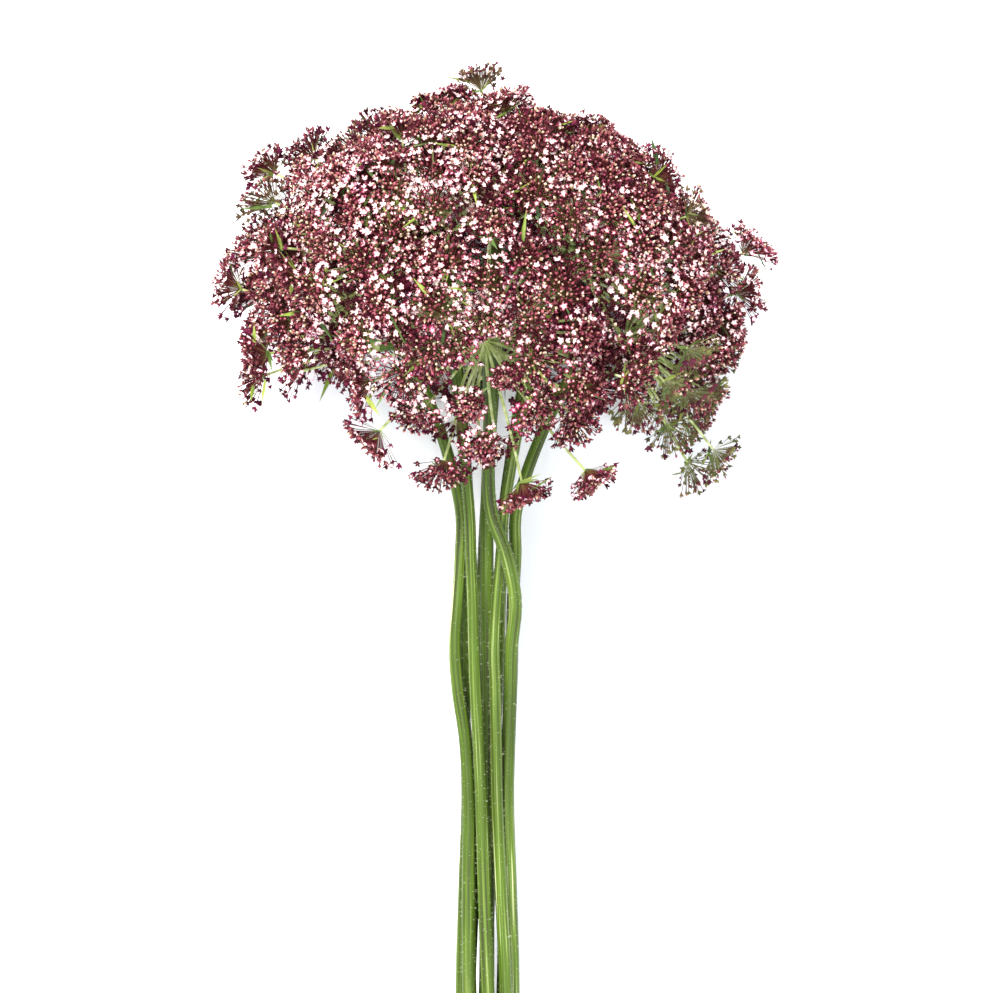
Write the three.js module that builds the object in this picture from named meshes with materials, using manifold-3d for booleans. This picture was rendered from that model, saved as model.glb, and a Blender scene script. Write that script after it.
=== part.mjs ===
// A cut bunch of pink lace flower lying on a surface: nine flowering stems, the umbel that each one carries and
// the elastic band that holds the stems together.
// Every umbel is a fan of rays from the top of its stem, and each ray ends in an umbellet, a small head of florets.
// The umbels crowd into one dome, so the umbellets are spread over the dome first and shared out among the stems.
// Millimetres. The bunch's own frame has +Y along the stems towards the head, +X to the right and +Z up.

import * as THREE from "three";
import Module from "manifold-3d";

const wasm = await Module();
wasm.setup();

const TURN = 2 * Math.PI;
const SLIVER = 0.08;
const GOLDEN_ANGLE = Math.PI * (3 - Math.sqrt(5));

// The dome of umbellets: its centre on the bunch's axis and its reach each way, to the middle of the umbellets. It
// reaches further on the left, and its rim hangs lower on the right.
const DOME_Y = 60;
const DOME = { left: 83, right: 77, topLeft: 71, topRight: 64, rim: 62, upper: 76, lower: 50 };
const RIM_ANGLE = { left: THREE.MathUtils.degToRad(100), right: THREE.MathUtils.degToRad(117) };
const RELIEF = 0.05;

// The umbellets.
const LATTICE = 254;
const SPACING = 20;
const SPARSER_BELOW = 0.16;
const THINNED_BELOW = -0.6;
const SETTLE_ROUNDS = 90;
const SHARE_OUT_ROUND = 30;
const HEAD = { radius: 9.5, depth: 4.8, crown: 2.5, lobes: 6, notch: 0.72, ring: 0.52 };
const RAY = { root: 0.5, neck: 0.8 };
const KNOB = { radius: 3, height: 4.4 };
const GAP = 0.35;

// The stems, from the cut ends to the band, the narrow place where they cross, and the head.
const CUT_Y = -315;
const BAND_Y = -255;
const STEM_SIDES = 7;
const STEM_STEPS = 19;
const CROWDING = 1.6;
const TWIST = THREE.MathUtils.degToRad(75);
const BUNCH_X = -3.2;
const BUNCH_RADII = [
  [CUT_Y, 8.1],
  [BAND_Y, 7.7],
  [-163, 8.4],
  [-101, 6.9],
  [-54, 8.8],
  [0, 8.8],
];
const BUNCH_EDGE = 10.8;
const CROSSING = { start: 14, end: -54 };

// Each flower: the way its umbel faces round the bunch's axis from straight up, the place its stem takes in the ring
// of stems below the crossing, how far its hub lies out from the axis and along it, the radius of its stem at the
// cut end, how far that end stands back from the longest, and where and how far the stem bows out of the ring.
const FLOWERS = [
  { azimuth: 0, place: 0, out: 0, along: 86, radius: 2.9, cut: 3 },
  { azimuth: -5, place: 62, out: 39, along: 50, radius: 2.9, cut: 0, bow: { y: -22, by: 5.4 } },
  { azimuth: 47, place: 16, out: 33, along: 80, radius: 2.4, cut: 6 },
  { azimuth: 92, place: 107, out: 40, along: 52, radius: 2.7, cut: 2, bow: { y: -8, by: 1.2 } },
  { azimuth: 137, place: 152, out: 30, along: 77, radius: 2.5, cut: 5 },
  { azimuth: 179, place: 196, out: 25, along: 46, radius: 2.8, cut: 1 },
  { azimuth: 222, place: 241, out: 30, along: 78, radius: 2.4, cut: 7 },
  { azimuth: 268, place: 285, out: 39, along: 50, radius: 2.7, cut: 0, bow: { y: -52, by: 2.2 } },
  { azimuth: 315, place: 331, out: 33, along: 82, radius: 2.5, cut: 4 },
];
const BOW_REACH = 34;
const MIDDLE_LEAN = { by: 2.35, reach: 110, turn: THREE.MathUtils.degToRad(326) };
const CUT_SLANT = 0.5;
const TAPER = 0.7;
const BRACTS = { count: 4, length: 15, width: 1.3, thick: 0.9, back: THREE.MathUtils.degToRad(115) };

// Umbellets that stand out of the dome or hang below its rim: right, along and up from the axis, and the size of
// those that are still small.
const STRAYS = [
  [-6, 139, 4],
  [-16, 133, 4, 0.8],
  [-27, 131, 4, 0.5],
  [-50, 121, -12],
  [-63, 115, -2],
  [-77, 110, 6],
  [-77, 98, 15],
  [-89, 70, 8],
  [-82, 39, -2],
  [-40, 17, 50],
  [-48, 34, 47],
  [-25, 25, 52, 0.95],
  [-9, 28, 60, 0.62],
  [-18, 7, 36],
  [-5, 16, 52, 0.8],
  [3, 37, 62, 0.5],
  [9, 0, 36],
  [25, 23, 54],
  [31, 5, 48],
  [33, 32, 52],
  [34, 47, 58],
  [46, 26, 36],
  [58, 20, 14],
  [67, 8, -18],
  [67, 23, -8],
  [75, 12, -4],
  [73, 33, -20],
  [74, 43, -2],
  [85, 69, -2],
  [86, 84, 2],
  [66, 92, 28],
];

// Where the front hub and the tops of the stems show between the umbellets.
const OPENINGS = [
  [-3, 49, 77],
  [-7, 36, 71],
];

// The band, wound three times round the stems.
const BAND = { turns: 3, thick: 1.1, wide: 2.3, steps: 24 };

// The surface that the bunch lies on meets the edge of the bundle at the cut ends and the dome at its rest depth.
const REST_DEPTH = 46;
const PRESS = 0.9;
const TILT = Math.atan((REST_DEPTH - BUNCH_EDGE) / (DOME_Y - CUT_Y));
const FLOOR_NORMAL = new THREE.Vector3(0, Math.sin(TILT), Math.cos(TILT));
const FLOOR_OFFSET = FLOOR_NORMAL.dot(new THREE.Vector3(0, CUT_Y, -BUNCH_EDGE));

// A repeatable draw from 0 to 1 for two whole numbers.
function draw(a, b) {
  const value = Math.sin(a * 12.9898 + b * 78.233) * 43758.5453;
  return value - Math.floor(value);
}

// Two directions across a given one.
function across(direction) {
  const helper = Math.abs(direction.y) < 0.9 ? new THREE.Vector3(0, 1, 0) : new THREE.Vector3(1, 0, 0);
  const first = new THREE.Vector3().crossVectors(helper, direction).normalize();
  return [first, new THREE.Vector3().crossVectors(direction, first)];
}

// A ring of points round a centre, each at its own radius and its own height along the direction.
function ring(centre, direction, count, radiusAt, heightAt, spin = 0) {
  const [first, second] = across(direction);
  return Array.from({ length: count }, (_, i) => {
    const angle = spin + (TURN * i) / count;
    return centre
      .clone()
      .addScaledVector(first, radiusAt(i) * Math.cos(angle))
      .addScaledVector(second, radiusAt(i) * Math.sin(angle))
      .addScaledVector(direction, heightAt(i));
  });
}

// A closed solid through rings of points. Rings may differ in their number of points, and one point closes an end.
function loft(rings) {
  const faces = [];
  const close = (start, count, turned) => {
    for (let i = 1; i + 1 < count; i++)
      faces.push(start, start + (turned ? i + 1 : i), start + (turned ? i : i + 1));
  };
  let start = 0;
  close(0, rings[0].length, true);
  rings.slice(1).forEach((upper, index) => {
    const low = rings[index].length;
    const high = upper.length;
    const next = start + low;
    let i = low === 1 ? 1 : 0;
    let j = high === 1 ? 1 : 0;
    while (i < low || j < high) {
      const lowNext = i < low && (j >= high || (i + 1) / low < (j + 1) / high);
      const corner = next + (j % high);
      if (lowNext) faces.push(start + i, start + ((i + 1) % low), corner);
      else faces.push(start + (i % low), next + ((j + 1) % high), corner);
      if (lowNext) i++;
      else j++;
    }
    start = next;
  });
  close(start, rings.at(-1).length, false);
  const points = rings.flat().flatMap((p) => p.toArray());
  return new wasm.Manifold(
    new wasm.Mesh({ numProp: 3, vertProperties: new Float32Array(points), triVerts: new Uint32Array(faces) }),
  );
}

function join(solids) {
  return solids.reduce((whole, solid) => whole.add(solid));
}

// A crossing of many thin pieces can leave slivers, a speck beside the body or a pinhole in it.
function largestBody(solid) {
  const bodies = solid.simplify(SLIVER).decompose();
  return bodies.sort((a, b) => b.volume() - a.volume())[0];
}

function meshOf(name, solid, material) {
  const mesh = solid.getMesh();
  const geometry = new THREE.BufferGeometry();
  geometry.setAttribute("position", new THREE.BufferAttribute(mesh.vertProperties, mesh.numProp));
  geometry.setIndex(new THREE.BufferAttribute(mesh.triVerts, 1));
  geometry.computeVertexNormals();
  const made = new THREE.Mesh(geometry, material);
  made.name = name;
  return made;
}

// The dome's surface

// The reach of the dome along its three axes for a direction from its centre.
function domeAxes(d) {
  const top = THREE.MathUtils.lerp(DOME.topLeft, DOME.topRight, THREE.MathUtils.smoothstep(d.x, -0.1, 0.5));
  return {
    side: d.x > 0 ? DOME.right : DOME.left,
    along: d.y > 0 ? top : DOME.rim,
    upright: d.z > 0 ? DOME.upper : DOME.lower,
  };
}

// How far the dome reaches from its centre in a direction.
function domeReach(d) {
  const { side, along, upright } = domeAxes(d);
  return 1 / Math.hypot(d.x / side, d.y / along, d.z / upright);
}

function domeNormal(p) {
  const from = new THREE.Vector3(p.x, p.y - DOME_Y, p.z);
  const { side, along, upright } = domeAxes(from.clone().normalize());
  return new THREE.Vector3(from.x / side ** 2, from.y / along ** 2, from.z / upright ** 2).normalize();
}

// The angle from the top of the dome at which the umbellets end.
function rimAngle(x, z) {
  const leftward = THREE.MathUtils.smoothstep(-x / (Math.hypot(x, z) || 1), 0.2, 0.9);
  return THREE.MathUtils.lerp(RIM_ANGLE.right, RIM_ANGLE.left, leftward);
}

function floorHeight(p) {
  return FLOOR_NORMAL.dot(p) - FLOOR_OFFSET;
}

// Half the room that a head takes along a direction.
function headReach(head, direction) {
  const facing = Math.abs(direction.dot(head.normal));
  return head.radius * Math.sqrt(Math.max(0, 1 - facing * facing)) + HEAD.crown * facing;
}

// Hubs: where the rays of each umbel spring from.
function hubOf(flower) {
  const angle = THREE.MathUtils.degToRad(flower.azimuth);
  return new THREE.Vector3(flower.out * Math.sin(angle), flower.along, flower.out * Math.cos(angle));
}

function hubDirection(flower) {
  const hub = hubOf(flower);
  const direction = hub.clone().sub(new THREE.Vector3(0, DOME_Y - 8, 0));
  direction.y = Math.max(direction.y, -4);
  return direction.normalize();
}

const HUBS = FLOWERS.map(hubOf);

// Umbellets

// Turns each head between its ray and the dome's normal, and flat onto the surface below where it nearly touches.
function faceHead(head) {
  const ray = head.at.clone().sub(HUBS[head.flower]).normalize();
  const lean = new THREE.Vector3(draw(head.id, 1) - 0.5, draw(head.id, 2) - 0.5, draw(head.id, 3) - 0.5);
  head.normal = ray.multiplyScalar(0.55).addScaledVector(domeNormal(head.at), 0.45).addScaledVector(lean, 0.3);
  head.normal.normalize();
  const near = THREE.MathUtils.clamp(1.6 - floorHeight(head.at) / HEAD.radius, 0, 1);
  head.normal.lerp(FLOOR_NORMAL.clone().negate(), near).normalize();
}

// The planes that part a flower's umbel from the others, each half a gap short of halfway to the other hub.
function partings(index) {
  const own = HUBS[index];
  return HUBS.filter((other) => other !== own).map((other) => {
    const apart = other.clone().sub(own).normalize();
    return { apart, limit: apart.dot(other.clone().add(own)) / 2 - GAP / 2 };
  });
}

const PARTINGS = HUBS.map((_, index) => partings(index));

// Keeps a head over the surface below and on its own umbel's side of each parting plane.
function confine(head) {
  faceHead(head);
  if (head.shared)
    PARTINGS[head.flower].forEach(({ apart, limit }) => {
      const past = head.at.dot(apart) + headReach(head, apart) - limit;
      if (past > 0) head.at.addScaledVector(apart, -past);
    });
  const sunk = headReach(head, FLOOR_NORMAL) - PRESS - floorHeight(head.at);
  if (sunk > 0) head.at.addScaledVector(FLOOR_NORMAL, sunk);
}

function nearestHub(p) {
  const distances = HUBS.map((hub) => hub.distanceTo(p));
  return distances.indexOf(Math.min(...distances));
}

// One round of settling: heads that are too close push each other apart, then sink back onto the dome.
function settle(heads) {
  const pushes = heads.map(() => new THREE.Vector3());
  heads.forEach((a, i) =>
    heads.slice(i + 1).forEach((b, j) => {
      const apart = a.at.clone().sub(b.at);
      const distance = apart.length();
      const spacing = SPACING * (1 - SPARSER_BELOW * domeNormal(a.at).z);
      if (distance >= spacing || distance === 0) return;
      apart.multiplyScalar((0.16 * (spacing - distance)) / distance);
      pushes[i].add(apart);
      pushes[i + 1 + j].sub(apart);
    }),
  );
  heads.forEach((head, i) => {
    if (!head.stray) {
      const d = head.at.clone().add(pushes[i]);
      d.y -= DOME_Y;
      d.normalize();
      const polar = Math.min(Math.acos(THREE.MathUtils.clamp(d.y, -1, 1)), rimAngle(d.x, d.z));
      const flat = Math.hypot(d.x, d.z) || 1;
      d.set((d.x / flat) * Math.sin(polar), Math.cos(polar), (d.z / flat) * Math.sin(polar));
      head.at.copy(d).multiplyScalar(domeReach(d) * head.relief);
      head.at.y += DOME_Y;
    }
    confine(head);
  });
}

function layOutHeads() {
  const heads = STRAYS.map(([x, y, z, size = 1]) => ({ at: new THREE.Vector3(x, y, z), size, stray: true, relief: 1 }));
  for (let i = 0; i < LATTICE; i++) {
    const polar = Math.acos(1 - (2 * (i + 0.5)) / LATTICE);
    const turn = i * GOLDEN_ANGLE;
    if (polar > rimAngle(Math.sin(turn), Math.cos(turn))) continue;
    if (Math.cos(turn) * Math.sin(polar) < THINNED_BELOW && i % 2) continue;
    const d = new THREE.Vector3(Math.sin(polar) * Math.sin(turn), Math.cos(polar), Math.sin(polar) * Math.cos(turn));
    const relief = 1 + RELIEF * (2 * draw(i, 7) - 1);
    const at = d.clone().multiplyScalar(domeReach(d) * relief);
    at.y += DOME_Y;
    heads.push({ at, size: 1, stray: false, relief });
  }
  for (const place of OPENINGS)
    heads.push({ at: new THREE.Vector3(...place), size: 1, stray: true, relief: 1, open: true });
  heads.forEach((head, id) => {
    head.id = id;
    head.size *= 0.92 + 0.14 * draw(id, 5);
    head.radius = HEAD.radius * head.size;
  });
  for (let round = 0; round < SETTLE_ROUNDS; round++) {
    heads.forEach((head) => {
      if (round <= SHARE_OUT_ROUND) head.flower = nearestHub(head.at);
      head.shared = round >= SHARE_OUT_ROUND;
    });
    settle(heads);
  }
  return heads.filter((head) => !head.open);
}

// A ray that widens into its umbellet: a crown of lobes, one for each large outer floret, round a raised middle.
function umbelletSolid(head, knobCentre) {
  const foot = head.at.clone().addScaledVector(head.normal, -HEAD.depth * head.size);
  const way = foot.clone().sub(knobCentre).normalize();
  const uneven = (i, k) => 0.86 + 0.28 * draw(head.id * 31 + i, k);
  const root = ring(knobCentre.clone().addScaledVector(way, 1.4), way, 3, () => RAY.root, () => 0);
  const neck = ring(foot, head.normal, 3, () => RAY.neck, () => 0);
  const turned = nearestTurn(root, neck);
  const edge = ring(
    head.at,
    head.normal,
    2 * HEAD.lobes,
    (i) => head.radius * (i % 2 ? HEAD.notch : uneven(i, 13)),
    (i) => head.size * (i % 2 ? -1.7 : 1.1 * uneven(i, 17) - 0.5),
    turned.angle,
  );
  const middle = ring(
    head.at,
    head.normal,
    HEAD.lobes,
    (i) => head.radius * HEAD.ring * uneven(i, 19),
    (i) => head.size * HEAD.crown * uneven(i, 23),
    turned.angle,
  );
  const lyingOn = head.normal.dot(FLOOR_NORMAL) < -0.9;
  const top = [head.at.clone().addScaledVector(head.normal, head.size * HEAD.crown * (lyingOn ? 1 : 0.4))];
  return loft([root, turned.points, edge, middle, top]);
}

// The neck's three points in the order that follows the root's without a twist.
function nearestTurn(root, neck) {
  const shift = [0, 1, 2]
    .map((s) => ({ s, far: root.reduce((sum, p, i) => sum + p.distanceToSquared(neck[(i + s) % 3]), 0) }))
    .sort((a, b) => a.far - b.far)[0].s;
  return { points: neck.map((_, i) => neck[(i + shift) % 3]), angle: (TURN * shift) / 3 };
}

function knobCentreOf(flower) {
  return hubOf(flower).addScaledVector(hubDirection(flower), KNOB.height / 2 + GAP);
}

function umbelSolid(flower, index, heads) {
  const direction = hubDirection(flower);
  const centre = knobCentreOf(flower);
  const slice = (height, radius) => ring(centre, direction, 6, () => radius, () => height);
  const half = KNOB.height / 2;
  const knob = loft([slice(-half, KNOB.radius * 0.8), slice(0, KNOB.radius), slice(half, KNOB.radius * 0.6)]);
  const whole = join([knob, ...heads.map((head) => umbelletSolid(head, centre))]);
  const parted = PARTINGS[index].reduce(
    (solid, { apart, limit }) => solid.trimByPlane(apart.clone().negate().toArray(), -limit),
    whole.trimByPlane(FLOOR_NORMAL.toArray(), FLOOR_OFFSET),
  );
  return largestBody(parted);
}

// Stems

function bunchRadius(y) {
  const above = BUNCH_RADII.findIndex(([level]) => level >= y);
  if (above <= 0) return BUNCH_RADII[above === 0 ? 0 : BUNCH_RADII.length - 1][1];
  const [y0, r0] = BUNCH_RADII[above - 1];
  const [y1, r1] = BUNCH_RADII[above];
  return THREE.MathUtils.lerp(r0, r1, THREE.MathUtils.smoothstep(y, y0, y1));
}

// Where a stem's middle lies in the ring of gathered stems at a level.
function gatheredPoint(flower, index, y) {
  if (index === 0) {
    const leaning = Math.max(0, 1 - Math.abs(y - BAND_Y) / MIDDLE_LEAN.reach);
    const by = MIDDLE_LEAN.by * leaning * leaning * (3 - 2 * leaning);
    return new THREE.Vector3(BUNCH_X + by * Math.sin(MIDDLE_LEAN.turn), y, by * Math.cos(MIDDLE_LEAN.turn));
  }
  const crossed = THREE.MathUtils.smoothstep(-y, -CROSSING.start, -CROSSING.end);
  const turn = THREE.MathUtils.lerp(flower.azimuth, flower.place, crossed);
  const angle = THREE.MathUtils.degToRad(turn) + (TWIST * Math.max(0, CROSSING.end - y)) / (CROSSING.end - CUT_Y);
  const near = flower.bow ? Math.max(0, 1 - Math.abs(y - flower.bow.y) / BOW_REACH) : 0;
  const radius = bunchRadius(y) + (flower.bow ? flower.bow.by * near * near * (3 - 2 * near) : 0);
  return new THREE.Vector3(BUNCH_X + radius * Math.sin(angle), y, radius * Math.cos(angle));
}

function stemCurve(flower, index) {
  const hub = hubOf(flower);
  const direction = hubDirection(flower);
  const levels = [CUT_Y + flower.cut, -285, BAND_Y, -210, -163, -130, -101, -80, -65, -50, -35, -20, -4];
  const points = levels.map((y) => gatheredPoint(flower, index, y));
  if (index > 0) {
    const bend = hub.clone().lerp(points.at(-1), 0.5).addScaledVector(direction, -4);
    bend.y += 6;
    points.push(bend);
  }
  points.push(hub.clone().addScaledVector(direction, -6), hub);
  return new THREE.CatmullRomCurve3(points, false, "centripetal");
}

function stemSolid(flower, index) {
  const curve = stemCurve(flower, index);
  const rings = [];
  const [side] = across(curve.getTangentAt(0));
  const normal = side.clone();
  for (let step = 0; step <= STEM_STEPS; step++) {
    const share = 1 - (1 - step / STEM_STEPS) ** CROWDING;
    const centre = curve.getPointAt(share);
    const tangent = curve.getTangentAt(share);
    normal.addScaledVector(tangent, -normal.dot(tangent)).normalize();
    const other = new THREE.Vector3().crossVectors(tangent, normal);
    const radius = flower.radius * (1 + (TAPER - 1) * share);
    const slant = step === 0 ? CUT_SLANT : 0;
    rings.push(
      Array.from({ length: STEM_SIDES }, (_, i) => {
        const angle = (TURN * i) / STEM_SIDES;
        return centre
          .clone()
          .addScaledVector(normal, radius * Math.cos(angle))
          .addScaledVector(other, radius * Math.sin(angle))
          .addScaledVector(tangent, slant * radius * Math.cos(angle + index));
      }),
    );
  }
  return loft(rings);
}

// Bracts: narrow blades that bend back from the top of the stem.

// A three-sided blade that keeps its width for a while and ends in a point.
function blade(root, way, upright, length, width) {
  const flat = new THREE.Vector3().crossVectors(upright, way).normalize();
  const high = new THREE.Vector3().crossVectors(way, flat).normalize();
  const section = (share, w) => {
    const middle = root.clone().addScaledVector(way, length * share);
    return [1, 0, -1].map((side) =>
      middle
        .clone()
        .addScaledVector(flat, w * side)
        .addScaledVector(high, side === 0 ? BRACTS.thick : 0),
    );
  };
  return loft([section(0, width), section(0.5, width * 0.8), [root.clone().addScaledVector(way, length)]]);
}

function bractSolid(flower, index, stemRadius) {
  const direction = hubDirection(flower);
  const [first, second] = across(direction);
  const turn = (TURN * (index + 0.3)) / BRACTS.count;
  const out = first.multiplyScalar(Math.cos(turn)).addScaledVector(second, Math.sin(turn));
  const root = hubOf(flower).addScaledVector(direction, -2.2).addScaledVector(out, 0.45 * stemRadius);
  const way = out.multiplyScalar(Math.sin(BRACTS.back)).addScaledVector(direction, Math.cos(BRACTS.back));
  return blade(root, way, direction, BRACTS.length, BRACTS.width);
}

function stemWithBracts(flower, index, umbels) {
  let whole = stemSolid(flower, index);
  for (let i = 0; i < BRACTS.count; i++) {
    const bract = bractSolid(flower, i, flower.radius * TAPER);
    const clear = umbels.every((umbel) => bract.intersect(umbel).isEmpty());
    if (clear) whole = whole.add(bract);
  }
  return largestBody(whole);
}

// The band

// The band lies along the outline of the stems: in each direction it rests on the stem that reaches furthest.
function bandSolid() {
  const stems = FLOWERS.map((flower, k) => ({ at: gatheredPoint(flower, k, BAND_Y), radius: flower.radius + GAP }));
  const half = (BAND.turns * BAND.wide) / 2;
  const profile = [[0, -half]];
  for (let turn = 0; turn < BAND.turns; turn++) {
    if (turn > 0) profile.push([BAND.thick * 0.6, turn * BAND.wide - half]);
    profile.push([BAND.thick, (turn + 0.5) * BAND.wide - half]);
  }
  profile.push([0, half]);
  const points = [];
  const faces = [];
  for (let step = 0; step < BAND.steps; step++) {
    const angle = (TURN * step) / BAND.steps;
    const out = new THREE.Vector3(Math.sin(angle), 0, Math.cos(angle));
    const reach = (stem) => stem.at.dot(out) + stem.radius;
    const held = stems.reduce((best, stem) => (reach(stem) > reach(best) ? stem : best));
    profile.forEach(([outward, along], i) => {
      const point = held.at.clone().addScaledVector(out, held.radius + outward);
      points.push(point.x, point.y + along, point.z);
      const here = step * profile.length;
      const there = ((step + 1) % BAND.steps) * profile.length;
      const next = (i + 1) % profile.length;
      faces.push(here + i, there + i, here + next, there + i, there + next, here + next);
    });
  }
  return new wasm.Manifold(
    new wasm.Mesh({ numProp: 3, vertProperties: new Float32Array(points), triVerts: new Uint32Array(faces) }),
  );
}

// The assembly

const leafGreen = new THREE.MeshStandardMaterial({ color: "#6f9136", roughness: 0.55, metalness: 0 });
const floretPink = new THREE.MeshStandardMaterial({ color: "#a8496a", roughness: 0.75, metalness: 0, flatShading: true });
const bandTan = new THREE.MeshStandardMaterial({ color: "#c8a878", roughness: 0.6, metalness: 0 });

const heads = layOutHeads();
const umbels = FLOWERS.map((flower, k) => umbelSolid(flower, k, heads.filter((head) => head.flower === k)));

const bunch = new THREE.Group();
FLOWERS.forEach((flower, k) => {
  bunch.add(meshOf(`umbel_${k + 1}`, umbels[k], floretPink));
  bunch.add(meshOf(`stem_${k + 1}`, stemWithBracts(flower, k, umbels), leafGreen));
});
bunch.add(meshOf("band", bandSolid(), bandTan));

// The bunch is tilted onto its resting points, and its box is centred over the origin.
bunch.rotation.x = TILT;
const lying = new THREE.Group();
lying.add(bunch);
const box = new THREE.Box3().setFromObject(lying, true);
bunch.position.set(-(box.min.x + box.max.x) / 2, -(box.min.y + box.max.y) / 2, -box.min.z);

export default lying;
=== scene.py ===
# A cut bunch of pink lace flower lying on a pale surface: nine ribbed green stems, the umbel that each one
# carries and the rubber band that holds the stems together. Sizes and the layout are in millimetres in the
# bunch's own frame, with +Y along the stems towards the head, +X to the right and +Z up. They are turned
# into metres in the shared frame as each mesh is made.

import math

import bpy
import numpy as np
from mathutils import Matrix, Vector


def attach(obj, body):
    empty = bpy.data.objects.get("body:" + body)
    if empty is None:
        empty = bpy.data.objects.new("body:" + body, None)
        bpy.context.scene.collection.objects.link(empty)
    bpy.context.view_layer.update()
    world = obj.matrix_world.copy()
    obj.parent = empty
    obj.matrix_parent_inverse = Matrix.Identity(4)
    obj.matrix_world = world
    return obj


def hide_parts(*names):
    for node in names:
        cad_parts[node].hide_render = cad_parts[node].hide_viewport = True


TURN = 2 * math.pi
GOLDEN_ANGLE = math.pi * (3 - math.sqrt(5))
MM = 0.001

# How the bunch lies: the tilt of its stems from the surface, the place of its own origin, and how close to
# the surface its finer parts come.
REST_DEPTH = 46
DOME_Y = 60
CUT_Y = -315
BUNCH_EDGE = 10.8
TILT = math.atan((REST_DEPTH - BUNCH_EDGE) / (DOME_Y - CUT_Y))
ORIGIN = (0.619, 86.933, 40.191)
LOWEST = 0.1

# The view: straight down onto the bunch.
CAMERA_DISTANCE = 920
CAMERA_LENS = 100
SENSOR = 36

# The light of a pale room, and two soft lamps over the head: place and size in metres, watts and colour.
ROOM_COLOUR = "#fafbff"
ROOM_STRENGTH = 0.86
LIT_PLACE = (0, 0.15, 0.05)
LAMPS = (
    ("key", (-0.6, 0.75, 1.7), 0.7, 63, "#fffaf4"),
    ("fill", (0.3, -0.9, 1.5), 1.4, 30, "#fafcff"),
)
FLOOR_REACH = 4

# The dome of umbellets: its reach each way, to the middle of the umbellets, and how far round from its top
# they go. It reaches further on the left, and its rim hangs lower on the right.
DOME_LEFT = 83
DOME_RIGHT = 77
DOME_TOP_LEFT = 71
DOME_TOP_RIGHT = 64
DOME_RIM = 62
DOME_UPPER = 76
DOME_LOWER = 50
RIM_ANGLE_LEFT = math.radians(100)
RIM_ANGLE_RIGHT = math.radians(117)
TOP_CHANGES = (-0.1, 0.5)
RIM_CHANGES = (0.2, 0.9)
RELIEF = 0.05

# The umbellets and how they are spread over the dome. Each faces partly along its ray, partly outwards and
# a little at random.
LATTICE = 254
SPACING = 20
SPARSER_BELOW = 0.16
THINNED_BELOW = -0.6
SETTLE_ROUNDS = 90
SHARE_OUT_ROUND = 30
PUSH = 0.16
HEAD_RADIUS = 9.5
SMALLEST_HEAD = 0.92
HEAD_SPREAD = 0.14
HEAD_DEPTH = 4.8
HEAD_CROWN = 2.5
ALONG_RAY = 0.55
OUTWARDS = 0.45
AT_RANDOM = 0.3
FLAT_WITHIN = 1.6
KNOB_RADIUS = 3
KNOB_HEIGHT = 4.4
GAP = 0.35
PRESS = 0.9

# The stems: the ring they stand in, how they cross and bow, and their skin. Hub directions fan out from a
# point below the dome's middle.
FAN_DROP = 8
LEAST_RISE = -4
BAND_Y = -255
TWIST = math.radians(75)
BUNCH_X = -3.2
BUNCH_RADII = ((CUT_Y, 8.1), (BAND_Y, 7.7), (-163, 8.4), (-101, 6.9), (-54, 8.8), (0, 8.8))
CROSSING_START = 14
CROSSING_END = -54
BOW_REACH = 34
LEAN_BY = 2.35
LEAN_REACH = 110
LEAN_TURN = math.radians(326)
LEVELS = (-285, BAND_Y, -210, -163, -130, -101, -80, -65, -50, -35, -20, -4)
MIDWAY_BACK = 4
MIDWAY_UP = 6
BELOW_HUB = 6
CUT_SLANT = 0.5
CUT_REACH = 0.5
TAPER = 0.7
STEM_RINGS = 96
LINE_STEPS = 24
RIBS = 7
SIDES_PER_RIB = 5
RIB_DEPTH = 0.03
FINER_RIBS = 5.0
FINER_SHARE = 0.4
STREAKS_APART = 4
HAIR_LENGTH = 1.0
HAIRS_PER_CM2 = 22
BRISTLE_RADIUS = 0.06
BRISTLE_ROOT = 0.1

# Narrow rings close a stem's cut end: how far each lies beyond the stem, its share of the radius and how
# pale it is.
CUT_RINGS = ((0.06, 0, 1), (0.04, 0.6, 1), (0.02, 0.94, 0.25))
CUT_CENTRE = 0.02

# Each flower: the way its umbel faces round the bunch's axis from straight up, the place its stem takes in
# the ring of stems below the crossing, how far its hub lies out from the axis and along it, the radius of
# its stem at the cut end, how far that end stands back from the longest, and where and how far the stem
# bows out of the ring.
FLOWERS = (
    dict(azimuth=0, place=0, out=0, along=86, radius=2.9, cut=3, bow=None),
    dict(azimuth=-5, place=62, out=39, along=50, radius=2.9, cut=0, bow=(-22, 5.4)),
    dict(azimuth=47, place=16, out=33, along=80, radius=2.4, cut=6, bow=None),
    dict(azimuth=92, place=107, out=40, along=52, radius=2.7, cut=2, bow=(-8, 1.2)),
    dict(azimuth=137, place=152, out=30, along=77, radius=2.5, cut=5, bow=None),
    dict(azimuth=179, place=196, out=25, along=46, radius=2.8, cut=1, bow=None),
    dict(azimuth=222, place=241, out=30, along=78, radius=2.4, cut=7, bow=None),
    dict(azimuth=268, place=285, out=39, along=50, radius=2.7, cut=0, bow=(-52, 2.2)),
    dict(azimuth=315, place=331, out=33, along=82, radius=2.5, cut=4, bow=None),
)

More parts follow.
